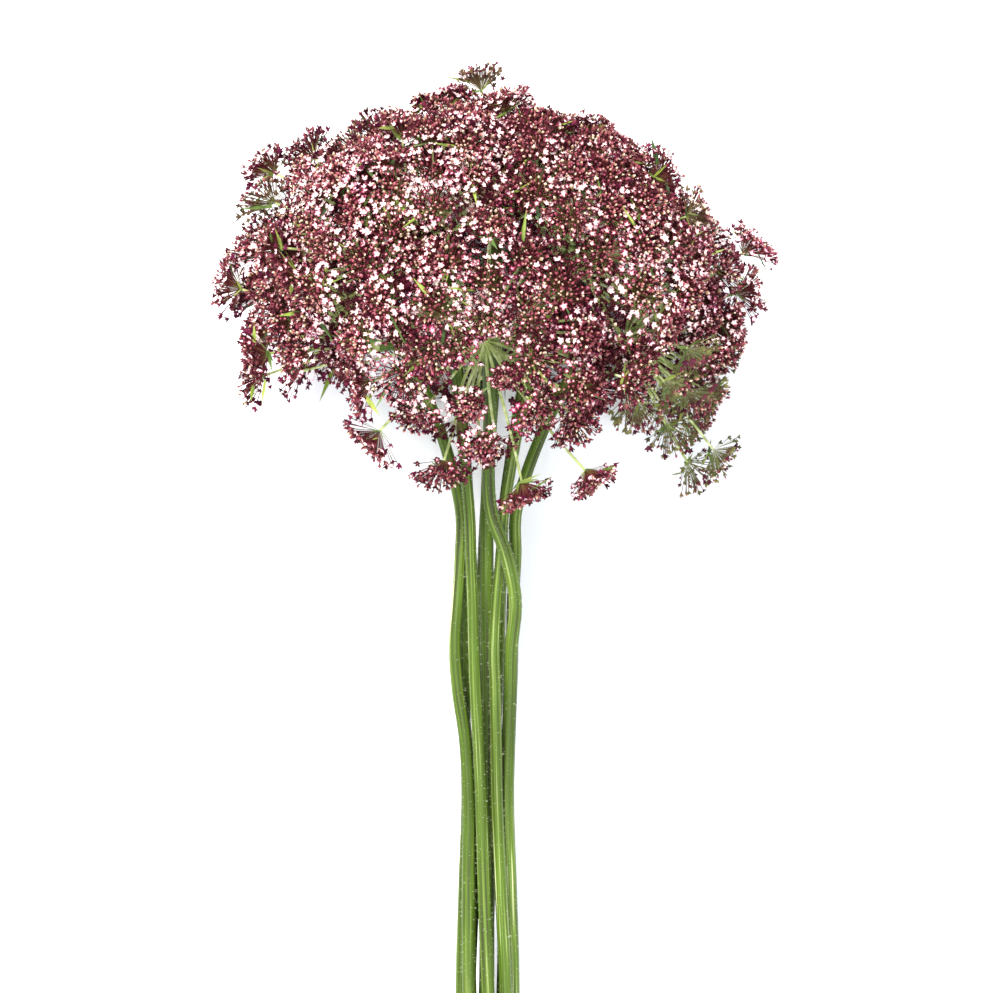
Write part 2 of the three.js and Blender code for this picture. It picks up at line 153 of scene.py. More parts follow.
# Umbellets that stand out of the dome or hang below its rim: right, along and up from the axis, and the
# size of those that are still small.
STRAYS = (
    (-6, 139, 4), (-16, 133, 4, 0.8), (-27, 131, 4, 0.5), (-50, 121, -12), (-63, 115, -2), (-77, 110, 6),
    (-77, 98, 15), (-89, 70, 8), (-82, 39, -2), (-40, 17, 50), (-48, 34, 47), (-25, 25, 52, 0.95),
    (-9, 28, 60, 0.62), (-18, 7, 36), (-5, 16, 52, 0.8), (3, 37, 62, 0.5), (9, 0, 36), (25, 23, 54),
    (31, 5, 48), (33, 32, 52), (34, 47, 58), (46, 26, 36), (58, 20, 14), (67, 8, -18), (67, 23, -8),
    (75, 12, -4), (73, 33, -20), (74, 43, -2), (85, 69, -2), (86, 84, 2), (66, 92, 28),
)

# Where the front hub and the tops of the stems show between the umbellets.
OPENINGS = ((-3, 49, 77), (-7, 36, 71))

# Small umbellets that hide the upper half of the front hub and the rays of the left one.
COVERS = ((-13, 47, 68), (-3, 55, 72), (11, 50, 68), (-52, 44, 22))

# The umbellets at the lower right face away from the view and show their green backs. Some of the single
# ones on the outline are half as green: those beside the dome's upper part and on its top.
AWAY_FROM_X = 44
AWAY_BELOW_Y = 44
AWAY_RIPE = -0.6
AWAY = (0.45, -0.75, -0.45)
AWAY_KEPT = 0.35
AWAY_THINNED = 0.42
BESIDE_X = 60
BESIDE_Y = 60
ON_TOP_Y = 112
OUTLYING_SHARE = 0.6
OUTLYING_GREEN = 0.5

# How far open the florets are, with less on umbellets that hang below the rim or stand round the front hub,
# where the closed, darker florets are painted shade in the hollow round the hub.
LEAST_OPEN = 0.1
HANGING_Y = (20, 55)
HANGING_CLOSED = 0.4
FRONT_HUB = (5, 52)
FRONT_REACH = (15, 42)
# Closing the florets round the front hub darkens them: painted shade in the hollow where the hub shows.
FRONT_CLOSED_AS_SHADE = 0.3

# Inside an umbellet: open florets round a middle of closed buds, and bracteoles under them, two of which
# are raised among the florets. Zones, heights and the bracteoles' places are in umbellet radii.
FLORETS = 58
FLORET_RADIUS = 1.18
FLORET_CUP = 0.9
PETAL_REACH = (1.2, 0.9, 1.0, 0.85, 1.15)
PETAL_EDGE = ((0, 0.56, 0.1), (0.32, 1.0, 0.42), (0.68, 1.0, 0.42))
INNER_PETAL_EDGE = ((0, 0.6, 0.02), (0.5, 1.05, 0.3))
FLORET_ZONE = 0.42
FLORET_FAN = 0.85
UMBELLET_EDGE = 1.06
BUDS = 84
BUD_RADIUS = 0.52
BUD_HEIGHTS = (-0.8, 0.1, 0.7)
BUD_ZONE = 0.86
BUD_FAN = 1.6
EVEN_CROWDING = 0.5
BUD_CROWDING = 0.68
BLOOM_LAYERS = (
    ("floret", "petal", 0.2, 0.55),
    ("bud", "bud", 0.25, 1.0),
    ("inner_floret", "petal", 0.2, 0.8),
)
SHAKE = 0.6
REACH_SPREAD = 0.19
FACING_SPREAD = 0.36
PART_LEAN = 0.45
MISSING = 0.1
DISH = 1.0
RISE = 5.0
DROP = 7.2
PEDICEL_RADIUS = 0.13
PEDICEL_FLARE = 1.3
BRACTEOLES = 8
BRACTEOLE_LENGTH = 7.8
BRACTEOLE_WIDTH = 1.05
BRACTEOLE_SECTIONS = ((0, 0.4), (0.45, 0.55))
BRACTEOLE_KEEL = 0.5
BRACTEOLE_FILLED = 0.2
BRACTEOLES_MISSING = 0.12
LEAST_LIFT = 0.15
LIFT_SPREAD = 0.5
RAISED_BRACTEOLES = 2
RAISED_OUT = 0.35
RAISED_HEIGHT = -0.14
RAISED_LIFT = 0.1
RAY_RADIUS = 0.52
RAY_ROOT = 1.4
RAY_THICKER = 1.1
RAY_THINNING = 0.3
RAY_BOW = 2.0
RAY_STEPS = 7
RAY_SIDES = 6

# Smaller umbellets on shorter rays, and the ones that close wide gaps. The smaller ones are drawn far less
# ripe, so their florets are closed and dark: partly florets still closed, partly painted shade deep in the
# umbel.
INNER_FLORETS = 38
INNER_DEPTH = 0.7
INNER_SHIFT = 5
INNER_SIZE = 0.95
INNER_RIPENESS_AND_SHADE = -2
FILLER_TRIES = 900
FILLER_RIM = math.radians(4)
FILLER_REACH = 0.92
FILLER_ROOM = 11.5
FILLER_SIZE = 0.85
OPENING_DEPTH = 24
GROOVE_REACH = 30
GROOVE_DEPTH = 6.5

# The bracts under each umbel. A fork is given as its place along the bract, how far it leans aside and its
# length, and the widths of a blade and the swell of the hub by their place along it.
BRACTS = 4
BRACT_LENGTH = 17
BRACT_WIDTH = 0.5
BRACT_BACK = math.radians(112)
BRACT_DROOP = 0.4
BRACT_SAG = 0.22
BRACT_DROP = 2.2
BRACT_ROOT = 0.45
BRACT_TURN = 0.3
FORKS = ((0.35, 0.6, 0.42), (0.4, -0.6, 0.4), (0.58, 0.5, 0.34), (0.62, -0.55, 0.3))
FORK_WIDTH = 0.6
BLADE_WIDTHS = ((0, 0.8), (0.3, 1.0), (0.6, 0.85), (0.85, 0.5))
KEEL = 0.35
BACK_KEEL = 0.4
HUB_SWELL = ((-1.45, 0.45), (-1, 0.72), (-0.5, 0.93), (0, 1), (0.5, 0.8), (0.9, 0.4))
HUB_SHARE = 0.9
HUB_SIDES = 12
HUB_LOBES = 4
HUB_LOBE_DEPTH = 0.06

# The rubber band, one closed loop wound three times round the stems. Its last stretch crosses back over it.
BAND_TURNS = 3
BAND_THICK = 1.0
BAND_WIDE = 2.1
BAND_STEPS = 240
BAND_SIDES = 12
BAND_CROSSES = 0.86
BAND_BACK = 0.97
BAND_LIFT = 1.05
THINNED_AT_BAND = 0.97

# How large the patterns on the skins are. Streaks have their width on a stem of the usual radius, and are
# drawn out as if a stem were only three of its radii long.
BLUSH_PATCHES = 15.4
TONE_PATCHES = 25
RAY_MOTTLE = 2.857
HAIR_MOTTLE = 2.5
RUBBER_GRAIN = 2 / 3
CARD_CLOUDS = 16.667
USUAL_RADIUS = 2.7
STREAK_WIDTH = 1.0
STREAK_RUN = 3.0

# The nodes used most, and the stored values that skins read.
MATH = "ShaderNodeMath"
VECTOR_MATH = "ShaderNodeVectorMath"
MAP_RANGE = "ShaderNodeMapRange"
MIX = "ShaderNodeMix"
RAMP = "ShaderNodeValToRGB"
NOISE = "ShaderNodeTexNoise"
STORE = "GeometryNodeStoreNamedAttribute"
NAMED = "GeometryNodeInputNamedAttribute"
RANDOM = "FunctionNodeRandomValue"
SET_POSITION = "GeometryNodeSetPosition"
ON_POINTS = "GeometryNodeInstanceOnPoints"
SWITCH = "GeometryNodeSwitch"
ATTRIBUTE = "ShaderNodeAttribute"
SKIN_VALUES = {"rim", "back", "tint", "ripe", "share", "green", "along", "core", "around", "ridge"}


# Small helpers

# Turns an sRGB hex colour into the linear colour that the shaders work in.
def colour(code):
    parts = [int(code[i:i + 2], 16) / 255 for i in (1, 3, 5)]
    return tuple(p / 12.92 if p <= 0.04045 else ((p + 0.055) / 1.055) ** 2.4 for p in parts) + (1.0,)


# Fills a socket with a value, or joins it to another socket or to the first output that a node has in use.
def fill(tree, socket, value):
    if isinstance(value, bpy.types.Node):
        value = next(s for s in value.outputs if s.enabled)
    if isinstance(value, bpy.types.NodeSocket):
        tree.links.new(value, socket)
    else:
        socket.default_value = value


# Adds a node with its settings, and fills its first inputs in order and those in a dictionary by name. A
# colour ramp's stops are hex colours by their place.
def add(tree, kind, *inputs, stops=None, **settings):
    node = tree.nodes.new(kind)
    for name, value in settings.items():
        setattr(node, name, value)
    named = inputs[-1] if inputs and isinstance(inputs[-1], dict) else {}
    for i, value in enumerate(inputs[:-1] if named else inputs):
        fill(tree, node.inputs[i], value)
    for name, value in named.items():
        fill(tree, next(s for s in node.inputs if s.name == name and s.enabled), value)
    for i, (position, code) in enumerate((stops or {}).items()):
        stop = node.color_ramp.elements[i] if i < 2 else node.color_ramp.elements.new(position)
        stop.position = position
        stop.color = colour(code)
    return node


# A new node tree with one geometry output, and the names of its inputs for each kind of socket.
def new_tree(name, **inputs):
    tree = bpy.data.node_groups.new(name, "GeometryNodeTree")
    tree.interface.new_socket("Geometry", in_out="OUTPUT", socket_type="NodeSocketGeometry")
    for kind, labels in inputs.items():
        for label in labels:
            tree.interface.new_socket(label, in_out="INPUT", socket_type="NodeSocket" + kind)
    return tree, tree.nodes.new("NodeGroupInput").outputs


def unit(v):
    return v / np.linalg.norm(v, axis=-1, keepdims=True)


# Runs smoothly from 0 to 1 between two values.
def smooth_share(value, low, high):
    share = np.clip((value - low) / (high - low), 0, 1)
    return share * share * (3 - 2 * share)


# Runs smoothly from 1 down to 0 on both sides, as far as a reach.
def smooth_peak(distance, reach):
    return smooth_share(1 - abs(distance) / reach, 0, 1)


# A repeatable draw from 0 to 1 for two whole numbers.
def draw(a, b):
    value = np.sin(np.asarray(a) * 12.9898 + b * 78.233) * 43758.5453
    return value - np.floor(value)


# Directions of the bunch's frame in the shared frame.
def turned(ways):
    w = np.asarray(ways, float).reshape(-1, 3)
    y = w[:, 1] * math.cos(TILT) - w[:, 2] * math.sin(TILT)
    z = w[:, 1] * math.sin(TILT) + w[:, 2] * math.cos(TILT)
    return np.stack([w[:, 0], y, z], axis=1)


# From the bunch's frame in millimetres to the shared frame in metres.
def to_shared(points):
    return (turned(points) + ORIGIN) * MM


# A mesh object with numbers and directions stored on its points.
def mesh_object(name, points, edges=(), faces=(), **stored):
    mesh = bpy.data.meshes.new(name)
    mesh.from_pydata([tuple(map(float, p)) for p in points], list(edges), list(faces))
    for key, values in stored.items():
        values = np.asarray(values, np.float32)
        kind, field = ("FLOAT", "value") if values.ndim == 1 else ("FLOAT_VECTOR", "vector")
        mesh.attributes.new(key, kind, "POINT").data.foreach_set(field, values.ravel())
    thing = bpy.data.objects.new(name, mesh)
    bpy.context.scene.collection.objects.link(thing)
    return thing


# The faces of a closed form whose points come ring by ring from its foot, with one point for a pointed end.
def ring_faces(sides, rings, start=0, pointed_foot=False, pointed_head=False):
    first = start + pointed_foot
    last = first + (rings - 1) * sides
    faces = [] if pointed_foot else [tuple(range(first, first + sides))[::-1]]
    for i in range(sides):
        j = (i + 1) % sides
        faces += [(a + i, a + j, a + sides + j, a + sides + i) for a in range(first, last, sides)]
        if pointed_foot:
            faces.append((start, first + j, first + i))
        if pointed_head:
            faces.append((last + i, last + j, last + sides))
    return faces if pointed_head else faces + [tuple(range(last, last + sides))]


# Runs a tree on an object and gives the result as a plain mesh object, with no more values than the skins
# read.
def grown(name, tree, base, values):
    modifier = base.modifiers.new(name, "NODES")
    modifier.node_group = tree
    labels = {item.name: item.identifier for item in tree.interface.items_tree if item.in_out == "INPUT"}
    for label, value in values.items():
        modifier[labels[label]] = value
    depsgraph = bpy.context.evaluated_depsgraph_get()
    evaluated = base.evaluated_get(depsgraph)
    mesh = bpy.data.meshes.new_from_object(evaluated, preserve_all_data_layers=True, depsgraph=depsgraph)
    base.modifiers.remove(modifier)
    bpy.data.objects.remove(base)
    kept = SKIN_VALUES | {"position", "material_index", "sharp_face", "sharp_edge"}
    for key in [a.name for a in mesh.attributes if a.name not in kept and a.name[0] != "."]:
        mesh.attributes.remove(mesh.attributes[key])
    mesh.name = name
    piece = bpy.data.objects.new(name, mesh)
    bpy.context.scene.collection.objects.link(piece)
    return piece


# View, floor and light

def set_camera():
    back = Vector((0, -math.sin(TILT), math.cos(TILT)))
    up = Vector((0, math.cos(TILT), math.sin(TILT)))
    camera = bpy.data.objects.new("camera", bpy.data.cameras.new("camera"))
    camera.data.lens = CAMERA_LENS
    camera.data.sensor_width = SENSOR
    camera.data.clip_end = 20
    camera.matrix_world = Matrix((up.cross(back), up, back)).transposed().to_4x4()
    camera.location = (Vector(ORIGIN) + back * CAMERA_DISTANCE) * MM
    bpy.context.scene.collection.objects.link(camera)
    bpy.context.scene.camera = camera


def set_floor():
    corners = [(x * FLOOR_REACH, y * FLOOR_REACH, 0) for x, y in ((-1, -1), (1, -1), (1, 1), (-1, 1))]
    floor = mesh_object("floor", corners, faces=[(0, 1, 2, 3)])
    floor.data.materials.append(matt_card())


def set_light():
    world = bpy.data.worlds.new("soft_room")
    world.use_nodes = True
    room = world.node_tree.nodes["Background"].inputs
    room["Color"].default_value = colour(ROOM_COLOUR)
    room["Strength"].default_value = ROOM_STRENGTH
    bpy.context.scene.world = world
    for name, place, size, power, tint in LAMPS:
        lamp = bpy.data.objects.new(name, bpy.data.lights.new(name, "AREA"))
        lamp.data.size = size
        lamp.data.energy = power
        lamp.data.color = colour(tint)[:3]
        lamp.location = place
        lamp.rotation_euler = (Vector(LIT_PLACE) - Vector(place)).to_track_quat("-Z", "Y").to_euler()
        bpy.context.scene.collection.objects.link(lamp)
    bpy.context.scene.view_settings.view_transform = "Standard"


# The dome's surface

# The reach of the dome along its three axes for directions from its centre.
def dome_axes(d):
    side = np.where(d[:, 0] > 0, DOME_RIGHT, DOME_LEFT)
    top = DOME_TOP_LEFT + (DOME_TOP_RIGHT - DOME_TOP_LEFT) * smooth_share(d[:, 0], *TOP_CHANGES)
    along = np.where(d[:, 1] > 0, top, DOME_RIM)
    upright = np.where(d[:, 2] > 0, DOME_UPPER, DOME_LOWER)
    return np.stack([side, along, upright], axis=1)


def dome_reach(d):
    return 1 / np.linalg.norm(d / dome_axes(d), axis=1)


def dome_normal(p):
    out = p - (0, DOME_Y, 0)
    return unit(out / dome_axes(unit(out)) ** 2)


# The angle from the top of the dome at which the umbellets end.
def rim_angle(x, z):
    flat = np.hypot(x, z)
    leftward = smooth_share(-x / np.where(flat == 0, 1, flat), *RIM_CHANGES)
    return RIM_ANGLE_RIGHT + (RIM_ANGLE_LEFT - RIM_ANGLE_RIGHT) * leftward


# Numbered directions from the dome's centre along a growth spiral, up to its rim or short of it.
def spiral_directions(count, short_of_rim=0.0):
    for i in range(count):
        polar = math.acos(1 - 2 * (i + 0.5) / count)
        turn = i * GOLDEN_ANGLE
        if polar <= rim_angle(math.sin(turn), math.cos(turn)) - short_of_rim:
            flat = math.sin(polar)
            yield i, np.array([flat * math.sin(turn), math.cos(polar), flat * math.cos(turn)])


FLOOR_NORMAL = np.array([0, math.sin(TILT), math.cos(TILT)])
FLOOR_OFFSET = FLOOR_NORMAL @ np.array([0, CUT_Y, -BUNCH_EDGE])


# Hubs: where the rays of each umbel spring from.
def hub_of(flower):
    angle = math.radians(flower["azimuth"])
    return np.array([flower["out"] * math.sin(angle), flower["along"], flower["out"] * math.cos(angle)])


def hub_direction(flower):
    direction = hub_of(flower) - (0, DOME_Y - FAN_DROP, 0)
    direction[1] = max(direction[1], LEAST_RISE)
    return unit(direction)


def knob_centre(flower):
    return hub_of(flower) + hub_direction(flower) * (KNOB_HEIGHT / 2 + GAP)


HUBS = np.array([hub_of(flower) for flower in FLOWERS])


# Umbellets

# The umbellets of the whole bunch: where each one is, the way it faces, its radius and its flower.
class Heads:
    def __init__(self):
        places = [place[:3] for place in STRAYS]
        sizes = [place[3] if len(place) > 3 else 1.0 for place in STRAYS]
        relief = [1.0] * len(STRAYS)
        for i, d in spiral_directions(LATTICE):
            if d[2] < THINNED_BELOW and i % 2:
                continue
            relief.append(1 + RELIEF * (2 * float(draw(i, 7)) - 1))
            places.append(d * dome_reach(d[None])[0] * relief[-1] + (0, DOME_Y, 0))
        shown = len(places)
        places += OPENINGS
        sizes += [1.0] * (len(places) - len(STRAYS))
        self.at = np.array(places, float)
        self.relief = np.array(relief + [1.0] * len(OPENINGS))
        self.id = np.arange(len(places))
        self.open = self.id >= shown
        self.stray = (self.id < len(STRAYS)) | self.open
        self.radius = HEAD_RADIUS * np.array(sizes) * (SMALLEST_HEAD + HEAD_SPREAD * draw(self.id, 5))
        self.lean = np.stack([draw(self.id, k) - 0.5 for k in (1, 2, 3)], axis=1)
        for round_ in range(SETTLE_ROUNDS):
            if round_ <= SHARE_OUT_ROUND:
                self.flower = self.nearest_hub()
            self.settle(round_ >= SHARE_OUT_ROUND)
        self.fill_gaps()

    def nearest_hub(self):
        return np.linalg.norm(self.at[:, None] - HUBS[None], axis=2).argmin(axis=1)

    # Sets small umbellets a little lower where the others leave a wide gap.
    def fill_gaps(self):
        settled = len(self.at)
        self.at = np.concatenate([self.at, np.array(COVERS, float)])
        for _, d in spiral_directions(FILLER_TRIES, FILLER_RIM):
            place = d * dome_reach(d[None])[0] * FILLER_REACH + (0, DOME_Y, 0)
            if np.linalg.norm(self.at - place, axis=1).min() > FILLER_ROOM:
                self.at = np.concatenate([self.at, place[None]])
        added = len(self.at) - settled
        self.id = np.arange(len(self.at))
        self.open = np.concatenate([self.open, np.zeros(added, bool)])
        self.radius = np.concatenate([self.radius, np.full(added, HEAD_RADIUS * FILLER_SIZE)])
        self.normal = np.concatenate([self.normal, dome_normal(self.at[settled:])])
        self.flower = np.concatenate([self.flower, self.nearest_hub()[settled:]])

    # Turns each head between its ray and the dome's normal, and flat onto the surface below where it nearly
    # touches.
    def face(self):
        ray = unit(self.at - HUBS[self.flower])
        normal = unit(ALONG_RAY * ray + OUTWARDS * dome_normal(self.at) + AT_RANDOM * self.lean)
        height = self.at @ FLOOR_NORMAL - FLOOR_OFFSET
        near = np.clip(FLAT_WITHIN - height / HEAD_RADIUS, 0, 1)[:, None]
        self.normal = unit(normal * (1 - near) - FLOOR_NORMAL * near)

    # Half the room that each head takes along its direction.
    def reach(self, directions):
        facing = np.abs((self.normal * directions).sum(axis=1))
        return self.radius * np.sqrt(np.maximum(0, 1 - facing ** 2)) + HEAD_CROWN * facing

    # Keeps the heads over the surface below and on their own umbel's side of each plane halfway to another
    # hub.
    def confine(self, shared):
        self.face()
        own = HUBS[self.flower]
        for k, other in enumerate(HUBS):
            away = self.flower != k
            apart = unit(np.where(away[:, None], other - own, 1.0))
            middle = (other + own) / 2
            past = ((self.at - middle) * apart).sum(axis=1) + self.reach(apart) + GAP / 2
            push = np.where(away & shared, np.maximum(past, 0), 0)
            self.at = self.at - apart * push[:, None]
        floor = np.broadcast_to(FLOOR_NORMAL, self.at.shape)
        sunk = self.reach(floor) - PRESS - (self.at @ FLOOR_NORMAL - FLOOR_OFFSET)
        self.at = self.at + FLOOR_NORMAL * np.maximum(sunk, 0)[:, None]

    # One round of settling: heads that are too close push each other apart, then sink back onto the dome.
    def settle(self, shared):
        apart = self.at[:, None] - self.at[None]
        distance = np.linalg.norm(apart, axis=2)
        spacing = SPACING * (1 - SPARSER_BELOW * dome_normal(self.at)[:, 2])[:, None]
        pairs = np.triu((distance < spacing) & (distance > 0), 1)
        share = np.where(pairs, PUSH * (spacing - distance) / np.where(distance == 0, 1, distance), 0)
        pushes = apart * share[:, :, None]
        d = unit(self.at + pushes.sum(axis=1) - pushes.sum(axis=0) - (0, DOME_Y, 0))
        polar = np.minimum(np.arccos(np.clip(d[:, 1], -1, 1)), rim_angle(d[:, 0], d[:, 2]))
        flat = np.hypot(d[:, 0], d[:, 2])
        flat = np.where(flat == 0, 1, flat)
        out = np.sin(polar) / flat
        d = np.stack([d[:, 0] * out, np.cos(polar), d[:, 2] * out], axis=1)
        sunk = d * (dome_reach(d) * self.relief)[:, None] + (0, DOME_Y, 0)
        self.at = np.where(self.stray[:, None], self.at, sunk)
        self.confine(shared)


# Places in an umbellet along a growth spiral, in units of its radius, with the way that each part there
# points.
def spiral_spots(name, count, inner, outer, fan, crowding=EVEN_CROWDING):
    share = (np.arange(count) + 0.5) / count
    r = (inner ** (1 / crowding) + (outer ** (1 / crowding) - inner ** (1 / crowding)) * share) ** crowding
    angle = np.arange(count) * GOLDEN_ANGLE
    height = (DISH + RISE * r ** 2 - DROP * r ** 4) / HEAD_RADIUS
    spots = np.stack([r * np.cos(angle), r * np.sin(angle), height], axis=1)
    ways = unit(np.stack([spots[:, 0] * fan, spots[:, 1] * fan, np.ones(count)], axis=1))
    return mesh_object(name, spots, share=r, fan=ways)


# Bracteoles spring from the foot of an umbellet and spread under its florets, or stand raised among them.
def bracteole_spots():
    number = np.arange(BRACTEOLES)
    angle = number * TURN / BRACTEOLES
    raised = number % (BRACTEOLES // RAISED_BRACTEOLES) == 0
    out = np.where(raised, RAISED_OUT, 0)
    height = np.where(raised, RAISED_HEIGHT, -HEAD_DEPTH / HEAD_RADIUS)
    spots = np.stack([out * np.cos(angle), out * np.sin(angle), height], axis=1)
    lift = np.where(raised, RAISED_LIFT, LEAST_LIFT + LIFT_SPREAD * draw(number, 3))
    ways = unit(np.stack([np.cos(angle), np.sin(angle), lift], axis=1))
    return mesh_object("bracteole_spots", spots, share=raised.astype(float), fan=ways)


# An open floret: five petals that rise from a shallow cup, the two outer ones longer, closed below by the
# back of the petals. A petal is given as the turn, reach and height of each point on its edge. The rim
# value runs from the middle to the petals' edge, and the back value marks the underside.
def floret_shape(name, petal):
    points = [(0, 0, 0), (0, 0, -FLORET_CUP)]
    for k, longer in enumerate(PETAL_REACH):
        for offset, r, z in petal:
            angle = (k + offset) * TURN / len(PETAL_REACH)
            points.append((r * longer * math.cos(angle), r * longer * math.sin(angle), z * longer))
    edge = len(points) - 2
    faces = []
    for i in range(edge):
        here, there = 2 + i, 2 + (i + 1) % edge
        faces += [(0, here, there), (1, there, here)]
    scaled = np.array(points) * (FLORET_RADIUS * MM)
    floret = mesh_object(name, scaled, faces=faces, rim=[0, 0.6] + [1] * edge)
    back = floret.data.attributes.new("back", "FLOAT", "FACE")
    back.data.foreach_set("value", np.tile([0.0, 1.0], edge))
    return floret


def ring(radius, sides, z):
    return [(radius * math.cos(a), radius * math.sin(a), z) for a in np.arange(sides) * TURN / sides]


# A closed bud, a pointed barrel.
def bud_shape():
    foot, belly, tip = BUD_HEIGHTS
    points = [(0, 0, foot)] + ring(BUD_RADIUS, 4, belly) + [(0, 0, tip)]
    faces = ring_faces(4, 1, pointed_foot=True, pointed_head=True)
    return mesh_object("bud_shape", np.array(points) * MM, faces=faces, rim=[0, 1, 1, 1, 1, 2])


# A stalk of unit length that thickens towards the floret.
def pedicel_shape():
    points = [(0, 0, 0)] + ring(PEDICEL_FLARE, 3, 1)
    faces = ring_faces(3, 1, pointed_foot=True)
    return mesh_object("pedicel_shape", points, faces=faces, along=[0, 1, 1, 1])


# A fine spine of unit length.
def bristle_shape():
    points = ring(BRISTLE_RADIUS, 3, -BRISTLE_ROOT) + [(0, 0, 1)]
    return mesh_object("bristle_shape", points, faces=ring_faces(3, 1, pointed_head=True))


# A narrow pointed blade of unit length with a keel.
def bracteole_shape():
    points = []
    for z, w in BRACTEOLE_SECTIONS:
        points += [(w, 0, z), (0, -BRACTEOLE_KEEL * w, z), (-w, 0, z), (0, BRACTEOLE_FILLED * w, z)]
    return mesh_object("bracteole_shape", points + [(0, 0, 1)], faces=ring_faces(4, 2, pointed_head=True))


# Points a part's Z axis along a direction and spins the part about it.
def pointed(tree, direction, spin):
    upright = add(tree, "FunctionNodeAlignRotationToVector", {"Vector": direction}, axis="Z")
    about = add(tree, "FunctionNodeAxisAngleToRotation", (0, 0, 1), spin)
    return add(tree, "FunctionNodeRotateRotation", upright, about, rotation_space="LOCAL")


# Ends a tree: instances become real, stay over the surface that the bunch lies on and get their material.
def end_tree(tree, geometry, skin):
    real = add(tree, "GeometryNodeRealizeInstances", geometry)
    parts = add(tree, "ShaderNodeSeparateXYZ", add(tree, "GeometryNodeInputPosition"))
    over = add(tree, MATH, parts.outputs["Z"], LOWEST * MM, operation="MAXIMUM")
    place = add(tree, "ShaderNodeCombineXYZ", parts.outputs["X"], parts.outputs["Y"], over)
    rested = add(tree, SET_POSITION, real, {"Position": place})
    finished = add(tree, "GeometryNodeSetMaterial", rested, {"Material": skin})
    add(tree, "NodeGroupOutput", finished)
    return tree


